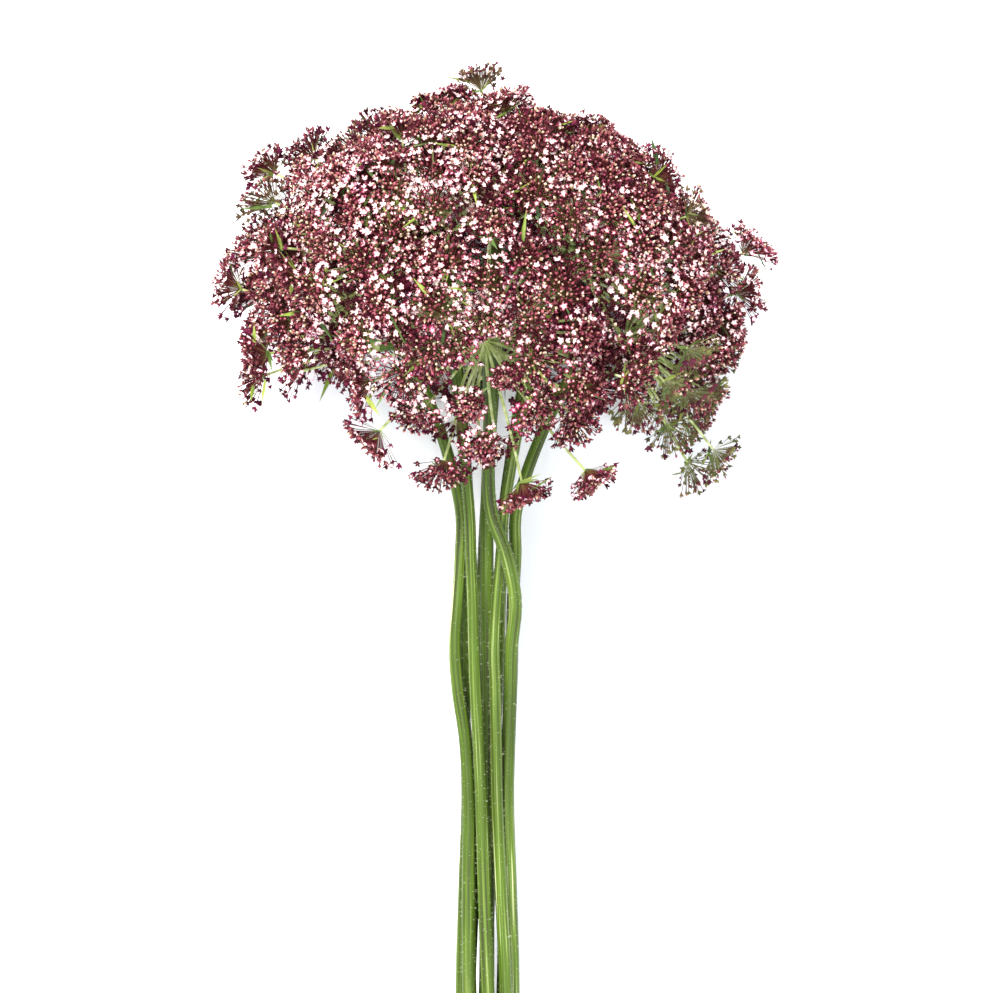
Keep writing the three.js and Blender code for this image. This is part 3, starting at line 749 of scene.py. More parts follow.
# A tree that sets a part on every spot of every umbellet, either standing on the spot along its own
# direction or reaching to the spot from the umbellet's foot.
def layer_tree():
    tree, given = new_tree(
        "umbellet layer", Geometry=["Heads"], Object=["Spots", "Part"], Bool=["From foot"],
        Float=["Uneven size", "Size at middle", "Jitter", "Uneven reach", "Missing"],
        Vector=["Part size"], Int=["Seed"], Material=["Material"],
    )
    radius, green, share = (
        add(tree, NAMED, name, data_type="FLOAT") for name in ("radius", "green", "share")
    )
    facing, foot, fan, way = (
        add(tree, NAMED, name, data_type="FLOAT_VECTOR") for name in ("facing", "foot", "fan", "way")
    )
    turn = add(tree, NAMED, "turn", data_type="QUATERNION")
    place = add(tree, "GeometryNodeInputPosition")
    # What is left to chance: the least, the most and the seed.
    chance = {
        name: add(tree, RANDOM, {"Min": least, "Max": most, "Seed": seed},
                  data_type="FLOAT_VECTOR" if isinstance(least, tuple) else "FLOAT")
        for name, least, most, seed in (
            ("tilt", (-FACING_SPREAD,) * 3, (FACING_SPREAD,) * 3, 7),
            ("head spin", 0.0, TURN, 11),
            ("shake", (-1.0,) * 3, (1.0,) * 3, given["Seed"]),
            ("stretch", -1.0, 0.7, given["Seed"]),
            ("lean", (-PART_LEAN,) * 3, (PART_LEAN,) * 3, 23),
            ("growth", -1.0, 1.0, 31),
            ("part spin", 0.0, TURN, 41),
            ("tint", 0.0, 1.0, 53),
            ("skew", (0.75, 0.75, 0.8), (1.12, 1.12, 1.3), 61),
        )
    }
    tilted = add(tree, VECTOR_MATH, facing, chance["tilt"], operation="ADD")
    head_turn = pointed(tree, tilted, chance["head spin"])
    placed = add(tree, STORE, given["Heads"], {"Name": "turn", "Value": head_turn}, data_type="QUATERNION")
    spots = add(tree, "GeometryNodeObjectInfo", given["Spots"]).outputs["Geometry"]
    placed = add(tree, ON_POINTS, placed, {"Instance": spots, "Rotation": turn, "Scale": radius})
    placed = add(tree, "GeometryNodeRealizeInstances", placed)
    shake = add(tree, VECTOR_MATH, chance["shake"], {"Scale": given["Jitter"]}, operation="SCALE")
    from_foot = add(tree, VECTOR_MATH, place, foot, operation="SUBTRACT")
    stretch = add(tree, MATH, chance["stretch"], given["Uneven reach"], operation="MULTIPLY")
    longer = add(tree, VECTOR_MATH, from_foot, {"Scale": stretch}, operation="SCALE")
    shift = add(tree, VECTOR_MATH, shake, longer, operation="ADD")
    placed = add(tree, SET_POSITION, placed, {"Offset": shift})
    thinned = add(tree, MATH, green, AWAY_THINNED, given["Missing"], operation="MULTIPLY_ADD")
    missing = add(tree, RANDOM, {"Probability": thinned, "Seed": given["Seed"]}, data_type="BOOLEAN")
    placed = add(tree, "GeometryNodeDeleteGeometry", placed, missing, domain="POINT")
    fanned = add(tree, "FunctionNodeRotateVector", fan, turn)
    leaning = add(tree, VECTOR_MATH, fanned, chance["lean"], operation="ADD")
    chosen = add(tree, SWITCH, {"Switch": given["From foot"], "False": leaning, "True": from_foot},
                 input_type="VECTOR")
    placed = add(tree, STORE, placed, {"Name": "way", "Value": chosen}, data_type="FLOAT_VECTOR")
    start = add(tree, SWITCH, {"Switch": given["From foot"], "False": place, "True": foot},
                input_type="VECTOR")
    placed = add(tree, SET_POSITION, placed, {"Position": start})
    growth = add(tree, MATH, chance["growth"], given["Uneven size"], 1.0, operation="MULTIPLY_ADD")
    by_share = add(tree, MAP_RANGE, share, 0.0, 1.0, given["Size at middle"], 1.0)
    both = add(tree, MATH, growth, by_share, operation="MULTIPLY")
    skewed = add(tree, VECTOR_MATH, given["Part size"], chance["skew"], operation="MULTIPLY")
    sized = add(tree, VECTOR_MATH, skewed, {"Scale": both}, operation="SCALE")
    parts = add(tree, "ShaderNodeSeparateXYZ", given["Part size"])
    length = add(tree, VECTOR_MATH, way, operation="LENGTH")
    stretched = add(tree, "ShaderNodeCombineXYZ", parts.outputs["X"], parts.outputs["Y"], length)
    size = add(tree, SWITCH, {"Switch": given["From foot"], "False": sized, "True": stretched},
               input_type="VECTOR")
    part = add(tree, "GeometryNodeObjectInfo", given["Part"]).outputs["Geometry"]
    part_turn = pointed(tree, way, chance["part spin"])
    placed = add(tree, ON_POINTS, placed, {"Instance": part, "Rotation": part_turn, "Scale": size})
    placed = add(tree, STORE, placed, {"Name": "tint", "Value": chance["tint"]},
                 data_type="FLOAT", domain="INSTANCE")
    return end_tree(tree, placed, given["Material"])


# Begins the tree of one umbel, and gives the umbellets that each kind of part stands on.
def umbel_tree(name, objects=(), sizes=()):
    tree, given = new_tree(name, Geometry=["Heads"], Object=["Inner heads", *objects], Vector=sizes,
                           Float=["Jitter", "Uneven reach", "Missing"], Int=["Seed"])
    inner = add(tree, "GeometryNodeObjectInfo", given["Inner heads"]).outputs["Geometry"]
    return tree, given, {"floret": given["Heads"], "bud": given["Heads"], "inner_floret": inner}


# Joins one layer of parts for each row of values.
def joined_layers(tree, given, layer, rows):
    joined = add(tree, "GeometryNodeJoinGeometry")
    common = {label: given[label] for label in ("Jitter", "Uneven reach", "Missing", "Seed")}
    for values in rows:
        fill(tree, joined.inputs[0], add(tree, "GeometryNodeGroup", {**common, **values}, node_tree=layer))
    return joined


# The florets and buds of an umbel.
def bloom_tree(layer, shapes, skins):
    tree, given, heads = umbel_tree("umbel bloom")
    rows = [{
        "Heads": heads[part], "Spots": shapes[part + "_spots"], "Part": shapes[part],
        "Part size": (1, 1, 1), "Uneven size": uneven, "Size at middle": at_middle, "Material": skins[skin],
    } for part, skin, uneven, at_middle in BLOOM_LAYERS]
    add(tree, "NodeGroupOutput", joined_layers(tree, given, layer, rows))
    return tree


# The green parts of an umbel: its rays, the pedicels of its florets and buds, and the bracteoles.
def frame_tree(layer, sweep, shapes, skins):
    tree, given, heads = umbel_tree("umbel frame", ["Ray lines"], ["Pedicel size", "Bracteole size"])
    rows = [{
        "Heads": heads[part], "Spots": shapes[part + "_spots"], "Part": shapes["pedicel"],
        "Part size": given["Pedicel size"], "From foot": True, "Material": skins["pedicel"],
    } for part in heads]
    rows.append({
        "Heads": given["Heads"], "Spots": shapes["bracteole_spots"], "Part": shapes["bracteole"],
        "Part size": given["Bracteole size"], "Uneven size": 0.38, "Size at middle": 0.8, "Jitter": 0.0,
        "Uneven reach": 0.0, "Missing": BRACTEOLES_MISSING, "Material": skins["blade"],
    })
    joined = joined_layers(tree, given, layer, rows)
    lines = add(tree, "GeometryNodeObjectInfo", given["Ray lines"]).outputs["Geometry"]
    rays = {"Line": lines, "Sides": RAY_SIDES, "Ribs": 0, "Rib depth": 0.0, "Material": skins["ray"]}
    fill(tree, joined.inputs[0], add(tree, "GeometryNodeGroup", rays, node_tree=sweep))
    add(tree, "NodeGroupOutput", joined)
    return tree


# A tree that sweeps a round or ribbed section along lines, with the thickness stored on their points.
# Between the broad ribs stand finer ones.
def sweep_tree():
    tree, given = new_tree("ribbed sweep", Geometry=["Line"], Int=["Sides", "Ribs"], Float=["Rib depth"],
                           Material=["Material"])
    place = add(tree, "GeometryNodeInputPosition")
    angle = add(tree, MATH, add(tree, "GeometryNodeSplineParameter"), TURN, operation="MULTIPLY")
    around = add(tree, MATH, angle, given["Ribs"], operation="MULTIPLY")
    finer = add(tree, MATH, angle, FINER_RIBS, around, operation="MULTIPLY_ADD")
    wave = add(tree, MATH, around, operation="COSINE")
    broad = add(tree, MATH, wave, 1 - FINER_SHARE, operation="MULTIPLY")
    fine = add(tree, MATH, finer, operation="SINE")
    ridge = add(tree, MATH, fine, FINER_SHARE, broad, operation="MULTIPLY_ADD")
    groove = add(tree, MATH, 1.0, ridge, operation="SUBTRACT")
    cut = add(tree, MATH, groove, given["Rib depth"], operation="MULTIPLY")
    scale = add(tree, MATH, cut, -0.5, 1.0, operation="MULTIPLY_ADD")
    section = add(tree, "GeometryNodeCurvePrimitiveCircle", {"Resolution": given["Sides"], "Radius": 1.0},
                  mode="RADIUS")
    for name, kind, value in (("around", "FLOAT_VECTOR", place), ("ridge", "FLOAT", ridge)):
        section = add(tree, STORE, section, {"Name": name, "Value": value}, data_type=kind)
    ribbed = add(tree, VECTOR_MATH, place, {"Scale": scale}, operation="SCALE")
    section = add(tree, SET_POSITION, section, {"Position": ribbed})
    rail = add(tree, "GeometryNodeMeshToCurve", given["Line"])
    thickness = add(tree, NAMED, "thickness", data_type="FLOAT")
    swept = add(tree, "GeometryNodeCurveToMesh", rail, section, {"Scale": thickness, "Fill Caps": True})
    smooth = add(tree, "GeometryNodeSetShadeSmooth", swept)
    return end_tree(tree, smooth, given["Material"])


# A tree that scatters short bristles over a skin.
def hair_tree():
    tree, given = new_tree("bristles", Geometry=["Skin"], Object=["Bristle"],
                           Float=["Per square metre", "Length"], Material=["Material"], Int=["Seed"])
    roots = add(tree, "GeometryNodeDistributePointsOnFaces", given["Skin"],
                {"Density": given["Per square metre"], "Seed": given["Seed"]})
    lean = add(tree, RANDOM, {"Min": (-0.5,) * 3, "Max": (0.5,) * 3, "Seed": 3}, data_type="FLOAT_VECTOR")
    way = add(tree, VECTOR_MATH, roots.outputs["Normal"], lean, operation="ADD")
    turn = add(tree, "FunctionNodeAlignRotationToVector", {"Vector": way}, axis="Z")
    length = add(tree, RANDOM, {"Min": 0.5, "Max": 1.0, "Seed": 5}, data_type="FLOAT")
    size = add(tree, MATH, length, given["Length"], operation="MULTIPLY")
    bristle = add(tree, "GeometryNodeObjectInfo", given["Bristle"]).outputs["Geometry"]
    placed = add(tree, ON_POINTS, roots, {"Instance": bristle, "Rotation": turn, "Scale": size})
    return end_tree(tree, placed, given["Material"])


# Stems

def bunch_radius(y):
    for (y0, r0), (y1, r1) in zip(BUNCH_RADII, BUNCH_RADII[1:]):
        if y <= y1:
            return r0 + (r1 - r0) * smooth_share(y, y0, y1)
    return BUNCH_RADII[-1][1]


# Where a stem's middle lies in the ring of gathered stems at a level. The first stem stands inside the ring
# and leans against another near the band.
def gathered_point(flower, index, y):
    if index == 0:
        radius = LEAN_BY * smooth_peak(y - BAND_Y, LEAN_REACH)
        angle = LEAN_TURN
    else:
        crossed = smooth_share(-y, -CROSSING_START, -CROSSING_END)
        turn = flower["azimuth"] + (flower["place"] - flower["azimuth"]) * crossed
        angle = math.radians(turn) + TWIST * max(0, CROSSING_END - y) / (CROSSING_END - CUT_Y)
        radius = bunch_radius(y)
    if flower["bow"]:
        bow_y, by = flower["bow"]
        radius += by * smooth_peak(y - bow_y, BOW_REACH)
    return np.array([BUNCH_X + radius * math.sin(angle), y, radius * math.cos(angle)])


# Evenly spaced points along a smooth curve through the given ones.
def smooth_line(points, count):
    p = [2 * points[0] - points[1]] + list(points) + [2 * points[-1] - points[-2]]
    fine = []
    for a, b, c, d in zip(p, p[1:], p[2:], p[3:]):
        before, here, after = (max(np.linalg.norm(v) ** 0.5, 1e-4) for v in (b - a, c - b, d - c))
        leave = ((b - a) / before - (c - a) / (before + here) + (c - b) / here) * here
        arrive = ((c - b) / here - (d - b) / (here + after) + (d - c) / after) * here
        cubic = 2 * b - 2 * c + leave + arrive
        square = -3 * b + 3 * c - 2 * leave - arrive
        steps = np.arange(LINE_STEPS) / LINE_STEPS
        fine += [b + leave * t + square * t ** 2 + cubic * t ** 3 for t in steps]
    fine = np.array(fine + [points[-1]])
    run = np.concatenate([[0], np.cumsum(np.linalg.norm(np.diff(fine, axis=0), axis=1))])
    wanted = np.linspace(0, run[-1], count)
    return np.stack([np.interp(wanted, run, fine[:, k]) for k in range(3)], axis=1)


def stem_line(flower, index):
    hub = hub_of(flower)
    direction = hub_direction(flower)
    points = [gathered_point(flower, index, y) for y in (CUT_Y + flower["cut"],) + LEVELS]
    if index > 0:
        points.append((hub + points[-1]) / 2 - direction * MIDWAY_BACK + (0, MIDWAY_UP, 0))
    points += [hub - direction * BELOW_HUB, hub]
    return smooth_line(points, STEM_RINGS)


# A ribbed stem with a slanted cut end that shows the pale pith.
def stem_piece(flower, index, sweep, skin):
    line = stem_line(flower, index)
    share = np.linspace(0, 1, STEM_RINGS)
    radius = flower["radius"] * (1 + (TAPER - 1) * share)
    axis = unit(line[1] - line[0])
    beyond, width, pale = np.transpose(CUT_RINGS)
    line = np.concatenate([line[0] - np.outer(beyond, axis), line])
    radius = np.concatenate([np.maximum(CUT_CENTRE, width * radius[0]), radius])
    core = np.concatenate([pale, np.zeros(STEM_RINGS)])
    along = np.concatenate([np.zeros(len(CUT_RINGS)), share]) + STREAKS_APART * index
    edges = [(i, i + 1) for i in range(len(line) - 1)]
    rail = mesh_object("stem_rail", to_shared(line), edges, thickness=radius * MM, core=core, along=along)
    piece = grown(f"stalk_{index + 1}", sweep, rail,
                  {"Sides": RIBS * SIDES_PER_RIB, "Ribs": RIBS, "Rib depth": RIB_DEPTH, "Material": skin})
    slant_end(piece, to_shared(line[:1])[0], turned(axis)[0], index)
    return piece


# Shears the rings at the cut end, so that the cut stands at a slant.
def slant_end(piece, end, axis, index):
    places = np.empty(len(piece.data.vertices) * 3)
    piece.data.vertices.foreach_get("co", places)
    places = places.reshape(-1, 3)
    side = unit(np.cross(axis, (math.sin(index), 0, math.cos(index))))
    near = (places - end) @ axis < CUT_REACH * MM
    places[near] += np.outer((places[near] - end) @ side * CUT_SLANT, axis)
    piece.data.vertices.foreach_set("co", places.ravel())
    piece.data.update()


# Short stiff hairs all over a stem.
def hair_piece(stalk, index, tree, bristle, skin):
    base = bpy.data.objects.new("skin", stalk.data.copy())
    bpy.context.scene.collection.objects.link(base)
    return grown(f"hairs_{index + 1}", tree, base,
                 {"Bristle": bristle, "Per square metre": HAIRS_PER_CM2 * 1e4, "Length": HAIR_LENGTH * MM,
                  "Material": skin, "Seed": index + 1})


# Bracts: a whorl of narrow forked blades that bend back from the top of the stem, round the swollen hub.
def bract_piece(flower, index, skin):
    points, faces = [], []
    direction = hub_direction(flower)
    helper = np.array([0, 1, 0]) if abs(direction[1]) < 0.9 else np.array([1, 0, 0])
    first = unit(np.cross(helper, direction))
    second = np.cross(direction, first)
    droop = -direction * BRACT_DROOP

    def bent(root, way, length, share):
        return root + way * length * share + droop * length * BRACT_SAG * share ** 2

    def blade(root, way, length, width):
        flat = unit(np.cross(droop, way))
        start = len(points)
        for share, w in BLADE_WIDTHS:
            middle = bent(root, way, length, share)
            side = flat * width * w
            keel = unit(np.cross(way, flat)) * KEEL * width * w
            points.extend([middle + side, middle + keel, middle - side, middle - keel * BACK_KEEL])
        points.append(bent(root, way, length, 1))
        faces.extend(ring_faces(4, len(BLADE_WIDTHS), start, pointed_head=True))

    for k in range(BRACTS):
        turn = TURN * (k + BRACT_TURN) / BRACTS
        out = first * math.cos(turn) + second * math.sin(turn)
        way = out * math.sin(BRACT_BACK) + direction * math.cos(BRACT_BACK)
        side = np.cross(way, direction)
        root = hub_of(flower) - direction * BRACT_DROP + out * BRACT_ROOT * flower["radius"] * TAPER
        blade(root, way, BRACT_LENGTH, BRACT_WIDTH)
        for share, lean, length in FORKS:
            blade(bent(root, way, BRACT_LENGTH, share), unit(way + side * lean), BRACT_LENGTH * length,
                  BRACT_WIDTH * FORK_WIDTH)
    piece = mesh_object(f"bracts_{index + 1}", to_shared(points), faces=faces)
    piece.data.materials.append(skin)
    return piece


# The swollen hub that the rays spring from.
def hub_piece(flower, index, skin):
    direction = hub_direction(flower)
    centre = knob_centre(flower)
    first = unit(np.cross(direction, (0.3, 0.2, 0.9)))
    second = np.cross(direction, first)
    points = []
    for height, r in HUB_SWELL:
        for a in np.arange(HUB_SIDES) * TURN / HUB_SIDES:
            swell = KNOB_RADIUS * HUB_SHARE * r * (1 + HUB_LOBE_DEPTH * math.cos(HUB_LOBES * a))
            out = first * math.cos(a) + second * math.sin(a)
            points.append(centre + direction * height * KNOB_HEIGHT / 2 + out * swell)
    piece = mesh_object(f"hub_{index + 1}", to_shared(points), faces=ring_faces(HUB_SIDES, len(HUB_SWELL)))
    piece.data.shade_smooth()
    piece.data.materials.append(skin)
    return piece


# The rays of an umbel as lines that bow a little on their way to the umbellets.
def ray_lines(centre, feet, normals):
    points, edges, thickness = [], [], []
    for foot, normal in zip(feet, normals):
        way = unit(foot - centre)
        start = centre + way * RAY_ROOT
        bow = unit(normal - way * (normal @ way) + 1e-6) * -RAY_BOW
        for step in range(RAY_STEPS):
            t = step / (RAY_STEPS - 1)
            if step:
                edges.append((len(points) - 1, len(points)))
            points.append(start + (foot - start) * t + bow * 4 * t * (1 - t))
            thickness.append(RAY_RADIUS * (RAY_THICKER - RAY_THINNING * t) * MM)
    return mesh_object("ray_lines", to_shared(points), edges, thickness=thickness)


# Where umbellets are joined to their rays.
def feet_of(at, normals, radii):
    return at - normals * (HEAD_DEPTH * radii / HEAD_RADIUS)[:, None]


# The spots of umbellets with what their trees need to know.
def head_spots(name, at, normals, radii, ripe, green):
    return mesh_object(name, to_shared(at), radius=radii * MM, ripe=ripe, green=green,
                       facing=turned(normals), foot=to_shared(feet_of(at, normals, radii)))


def ripeness(heads):
    x, y = heads.at[:, 0], heads.at[:, 1]
    hanging = 1 - smooth_share(y, *HANGING_Y)
    in_front = 1 - smooth_share(np.hypot(x - FRONT_HUB[0], y - FRONT_HUB[1]), *FRONT_REACH)
    # Less open round the front hub: painted shade in the hollow there.
    open_by = LEAST_OPEN + draw(heads.id, 61) - HANGING_CLOSED * hanging - FRONT_CLOSED_AS_SHADE * in_front
    return np.clip(open_by, 0, 1)


# Where the smaller umbellets on shorter rays stand: in the groove towards another umbel, or beside and
# below an outer umbellet.
def inner_places(heads, mine, index, centre):
    at, normals = heads.at[mine], heads.normal[mine]
    aside = np.stack([draw(heads.id[mine], k) - 0.5 for k in (41, 42, 43)], axis=1)
    aside = unit(aside - normals * (aside * normals).sum(axis=1)[:, None])
    below = centre + (at - centre) * INNER_DEPTH + aside * INNER_SHIFT
    others = heads.at[(heads.flower != index) & ~heads.open]
    apart = np.linalg.norm(at[:, None] - others[None], axis=2)
    between = (at + others[apart.argmin(axis=1)]) / 2
    groove = between + unit(centre - between) * GROOVE_DEPTH
    return np.where((apart.min(axis=1) < GROOVE_REACH)[:, None], groove, below)


# The outer umbellets of one umbel, as the values that head_spots takes, and which of them are turned away.
def outer_umbellets(heads, mine):
    at, normals, radii, number = heads.at[mine], heads.normal[mine], heads.radius[mine], heads.id[mine]
    away = (at[:, 0] > AWAY_FROM_X) & (at[:, 1] < AWAY_BELOW_Y)
    normals = np.where(away[:, None], unit(normals * AWAY_KEPT + AWAY), normals)
    ripe = np.where(away, AWAY_RIPE, ripeness(heads)[mine])
    outlying = (np.abs(at[:, 0]) > BESIDE_X) & (at[:, 1] > BESIDE_Y) | (at[:, 1] > ON_TOP_Y)
    outlying &= (number < len(STRAYS)) & (draw(number, 71) < OUTLYING_SHARE)
    green = np.where(away, 1.0, np.where(outlying, OUTLYING_GREEN, 0.0))
    return (at, normals, radii, ripe, green), away


# The umbel of one flower as two pieces: the bloom, and the green frame that carries it. Smaller umbellets
# on shorter rays stand between and below the outer ones, so that the umbel is deep.
def umbel_pieces(flower, index, heads, trees):
    mine = (heads.flower == index) & ~heads.open
    outer, away = outer_umbellets(heads, mine)
    centre = knob_centre(flower)
    places = inner_places(heads, mine, index, centre)
    apart = np.linalg.norm(places[:, None] - np.array(OPENINGS), axis=2).min(axis=1)
    clear = (apart > OPENING_DEPTH) & ~away
    _, normals, radii, ripe, green = (values[clear] for values in outer)
    facing = unit(places[clear] - centre)
    # Their low ripeness darkens the inner florets: partly closed florets, partly painted shade between the
    # outer umbellets.
    inner = (places[clear], facing, radii * INNER_SIZE, ripe + INNER_RIPENESS_AND_SHADE, green)
    feet = np.concatenate([feet_of(*outer[:3]), feet_of(*inner[:3])])
    lines = ray_lines(centre, feet, np.concatenate([outer[1], normals]))
    inner_heads = head_spots("inner_heads", *inner)
    common = {"Inner heads": inner_heads, "Jitter": SHAKE * MM, "Uneven reach": REACH_SPREAD,
              "Missing": MISSING, "Seed": index + 1}
    green_parts = {"Ray lines": lines, "Pedicel size": (PEDICEL_RADIUS * MM,) * 3,
                   "Bracteole size": (BRACTEOLE_WIDTH * MM, BRACTEOLE_WIDTH * MM, BRACTEOLE_LENGTH * MM)}
    bloom = grown(f"florets_{index + 1}", trees["bloom"], head_spots("heads", *outer), common)
    frame = grown(f"rays_{index + 1}", trees["frame"], head_spots("heads", *outer), common | green_parts)
    bpy.data.objects.remove(lines)
    bpy.data.objects.remove(inner_heads)
    return bloom, frame


# The band's path: one loop wound round the outline of the stems and back over itself.
def band_piece(sweep, rubber):
    stems = [(gathered_point(flower, k, BAND_Y), flower["radius"] * THINNED_AT_BAND)
             for k, flower in enumerate(FLOWERS)]
    points = []
    for step in range(BAND_STEPS):
        share = step / BAND_STEPS
        angle = TURN * BAND_TURNS * share
        out = np.array([math.sin(angle), 0, math.cos(angle)])
        at, radius = max(stems, key=lambda stem: stem[0] @ out + stem[1])
        crossing = smooth_share(share, BAND_CROSSES, BAND_BACK)
        lift = BAND_THICK * BAND_LIFT * math.sin(math.pi * crossing) if crossing < 1 else 0
        along = share / BAND_CROSSES - 0.5 if share < BAND_CROSSES else 0.5 - crossing
        along *= BAND_WIDE * (BAND_TURNS - 1)
        points.append(at + out * (radius + BAND_THICK / 2 + lift) + (0, along, 0))
    edges = [(i, (i + 1) % BAND_STEPS) for i in range(BAND_STEPS)]
    loop = mesh_object("band_rail", to_shared(points), edges, thickness=[BAND_THICK / 2 * MM] * BAND_STEPS)
    return grown("rubber_band", sweep, loop,
                 {"Sides": BAND_SIDES, "Ribs": 0, "Rib depth": 0.0, "Material": rubber})


# Materials

def new_skin(name, roughness, gloss=0.5):
    material = bpy.data.materials.new(name)
    material.use_nodes = True
    shader = material.node_tree.nodes["Principled BSDF"]
    shader.inputs["Roughness"].default_value = roughness
    shader.inputs["Specular IOR Level"].default_value = gloss
    return material, material.node_tree


# Gives a skin its colour.
def painted(material, base):
    tree = material.node_tree
    fill(tree, tree.nodes["Principled BSDF"].inputs["Base Color"], base)
    return material


# Soft patches of a size in millimetres.
def patches(tree, size, detail=2.0):
    place = add(tree, "ShaderNodeTexCoord").outputs["Object"]
    return add(tree, NOISE, {"Vector": place, "Scale": 1 / (size * MM), "Detail": detail})


# Petal tissue: thin and matt. The open florets are white in the middle and turn from rose to maroon towards
# their edges. Their backs are red brown, and wine red on the outermost ones. The less ripe an umbellet is,
# the less white shows, some patches blush, and the florets of umbellets that are turned away are olive.
def petal_skin():
    material, tree = new_skin("petal_tissue", 0.7, 0.06)
    rim, tint, ripe, back, share, green = (
        add(tree, ATTRIBUTE, attribute_name=name).outputs["Fac"]
        for name in ("rim", "tint", "ripe", "back", "share", "green")
    )
    inward = add(tree, MATH, share, -0.9, 0.9, operation="MULTIPLY_ADD")
    unripe = add(tree, MATH, ripe, -0.95, inward, operation="MULTIPLY_ADD")
    closing = add(tree, MATH, tint, unripe, operation="ADD", use_clamp=True)
    edge = add(tree, MATH, rim, 0.72, operation="MULTIPLY")
    opened = add(tree, MATH, closing, 0.8, edge, operation="MULTIPLY_ADD")
    white = add(tree, RAMP, opened, stops={
        0.0: "#fdf6f0", 0.44: "#faece8", 0.58: "#e2bcbe", 0.7: "#ac6872", 0.82: "#7a3844", 1.0: "#300f15",
    })
    blushing = add(tree, RAMP, opened, stops={
        0.0: "#fbe8ee", 0.36: "#f2c4d6", 0.55: "#c85c86", 0.74: "#8e2248", 1.0: "#480e22",
    })
    # In patches of about an umbellet's width, so that some umbellets blush more than others.
    blush = add(tree, MAP_RANGE, patches(tree, BLUSH_PATCHES, 1.0), 0.52, 0.72, 0.0, 0.8)
    upper = add(tree, MIX, {"Factor": blush, "A": white, "B": blushing}, data_type="RGBA")
    brown = add(tree, RAMP, tint, stops={0.0: "#280c10", 0.4: "#662a34", 0.75: "#8e5654", 1.0: "#240e0a"})
    wine = add(tree, RAMP, tint, stops={0.0: "#360e20", 0.5: "#5e1a38", 1.0: "#7c2c4a"})
    outermost = add(tree, MAP_RANGE, share, 0.8, 0.95)
    under = add(tree, MIX, {"Factor": outermost, "A": brown, "B": wine}, data_type="RGBA")
    ripe_sides = add(tree, MIX, {"Factor": back, "A": upper, "B": under}, data_type="RGBA")
    olive = add(tree, RAMP, tint, stops={
        0.0: "#44442a", 0.3: "#62643c", 0.48: "#84804f", 0.62: "#6a3442", 1.0: "#3c1424",
    })
    base = add(tree, MIX, {"Factor": green, "A": ripe_sides, "B": olive}, data_type="RGBA")
    return painted(material, base)


# Closed buds: a dull waxy skin, burgundy to rosy brown, dark at its foot and rose to cream at its tip.
def bud_skin():
    material, tree = new_skin("bud_skin", 0.6, 0.12)
    tint, rim = (add(tree, ATTRIBUTE, attribute_name=name).outputs["Fac"] for name in ("tint", "rim"))
    side = add(tree, RAMP, tint, stops={
        0.0: "#5c202c", 0.35: "#8a3e4e", 0.65: "#965552", 0.9: "#a88a6a", 1.0: "#d0bc9a",
    })
    body = add(tree, MIX, {"Factor": rim, "A": colour("#22080c"), "B": side}, data_type="RGBA")
    point = add(tree, RAMP, tint, stops={
        0.0: "#883c4a", 0.5: "#b06472", 0.68: "#cc968c", 0.82: "#eedac4", 1.0: "#fff2e2",
    })
    tip = add(tree, MAP_RANGE, rim, 1.1, 1.7)
    base = add(tree, MIX, {"Factor": tip, "A": body, "B": point}, data_type="RGBA")
    return painted(material, base)


# The skin of rays: smooth pale green, faintly mottled every 3 mm or so.
def ray_skin():
    material, tree = new_skin("ray_skin", 0.5, 0.25)
    mottle = patches(tree, RAY_MOTTLE)
    base = add(tree, RAMP, mottle, stops={0.3: "#8a9a58", 0.5: "#b0be78", 0.7: "#dde4b8"})
    return painted(material, base)


# The skin of pedicels: green at the foot of the umbellet and dull burgundy below the florets, and olive all
# along on umbellets that are turned away.
def pedicel_skin():
    material, tree = new_skin("pedicel_skin", 0.6, 0.1)
    along, tint, green = (
        add(tree, ATTRIBUTE, attribute_name=name).outputs["Fac"] for name in ("along", "tint", "green")
    )
    varied = add(tree, MATH, tint, 0.55, operation="MULTIPLY")
    fade = add(tree, MATH, along, 0.7, varied, operation="MULTIPLY_ADD")
    red = add(tree, RAMP, fade, stops={
        0.0: "#8a944e", 0.3: "#7c643c", 0.55: "#6a3034", 0.8: "#4c181f", 1.0: "#340f14",
    })
    olive = add(tree, RAMP, fade, stops={0.0: "#b8c088", 0.4: "#82895a", 0.8: "#646240", 1.0: "#5a4434"})
    base = add(tree, MIX, {"Factor": green, "A": red, "B": olive}, data_type="RGBA")
    return painted(material, base)


# Bract and bracteole blades: thin leaf with a satin skin, from dark to yellow green blade by blade.
def blade_skin():
    material, tree = new_skin("bract_blade", 0.45, 0.3)
    tint = add(tree, ATTRIBUTE, attribute_name="tint").outputs["Fac"]
    base = add(tree, RAMP, tint, stops={0.0: "#34502e", 0.35: "#587236", 0.65: "#7e943c", 1.0: "#a6b45a"})
    return painted(material, base)


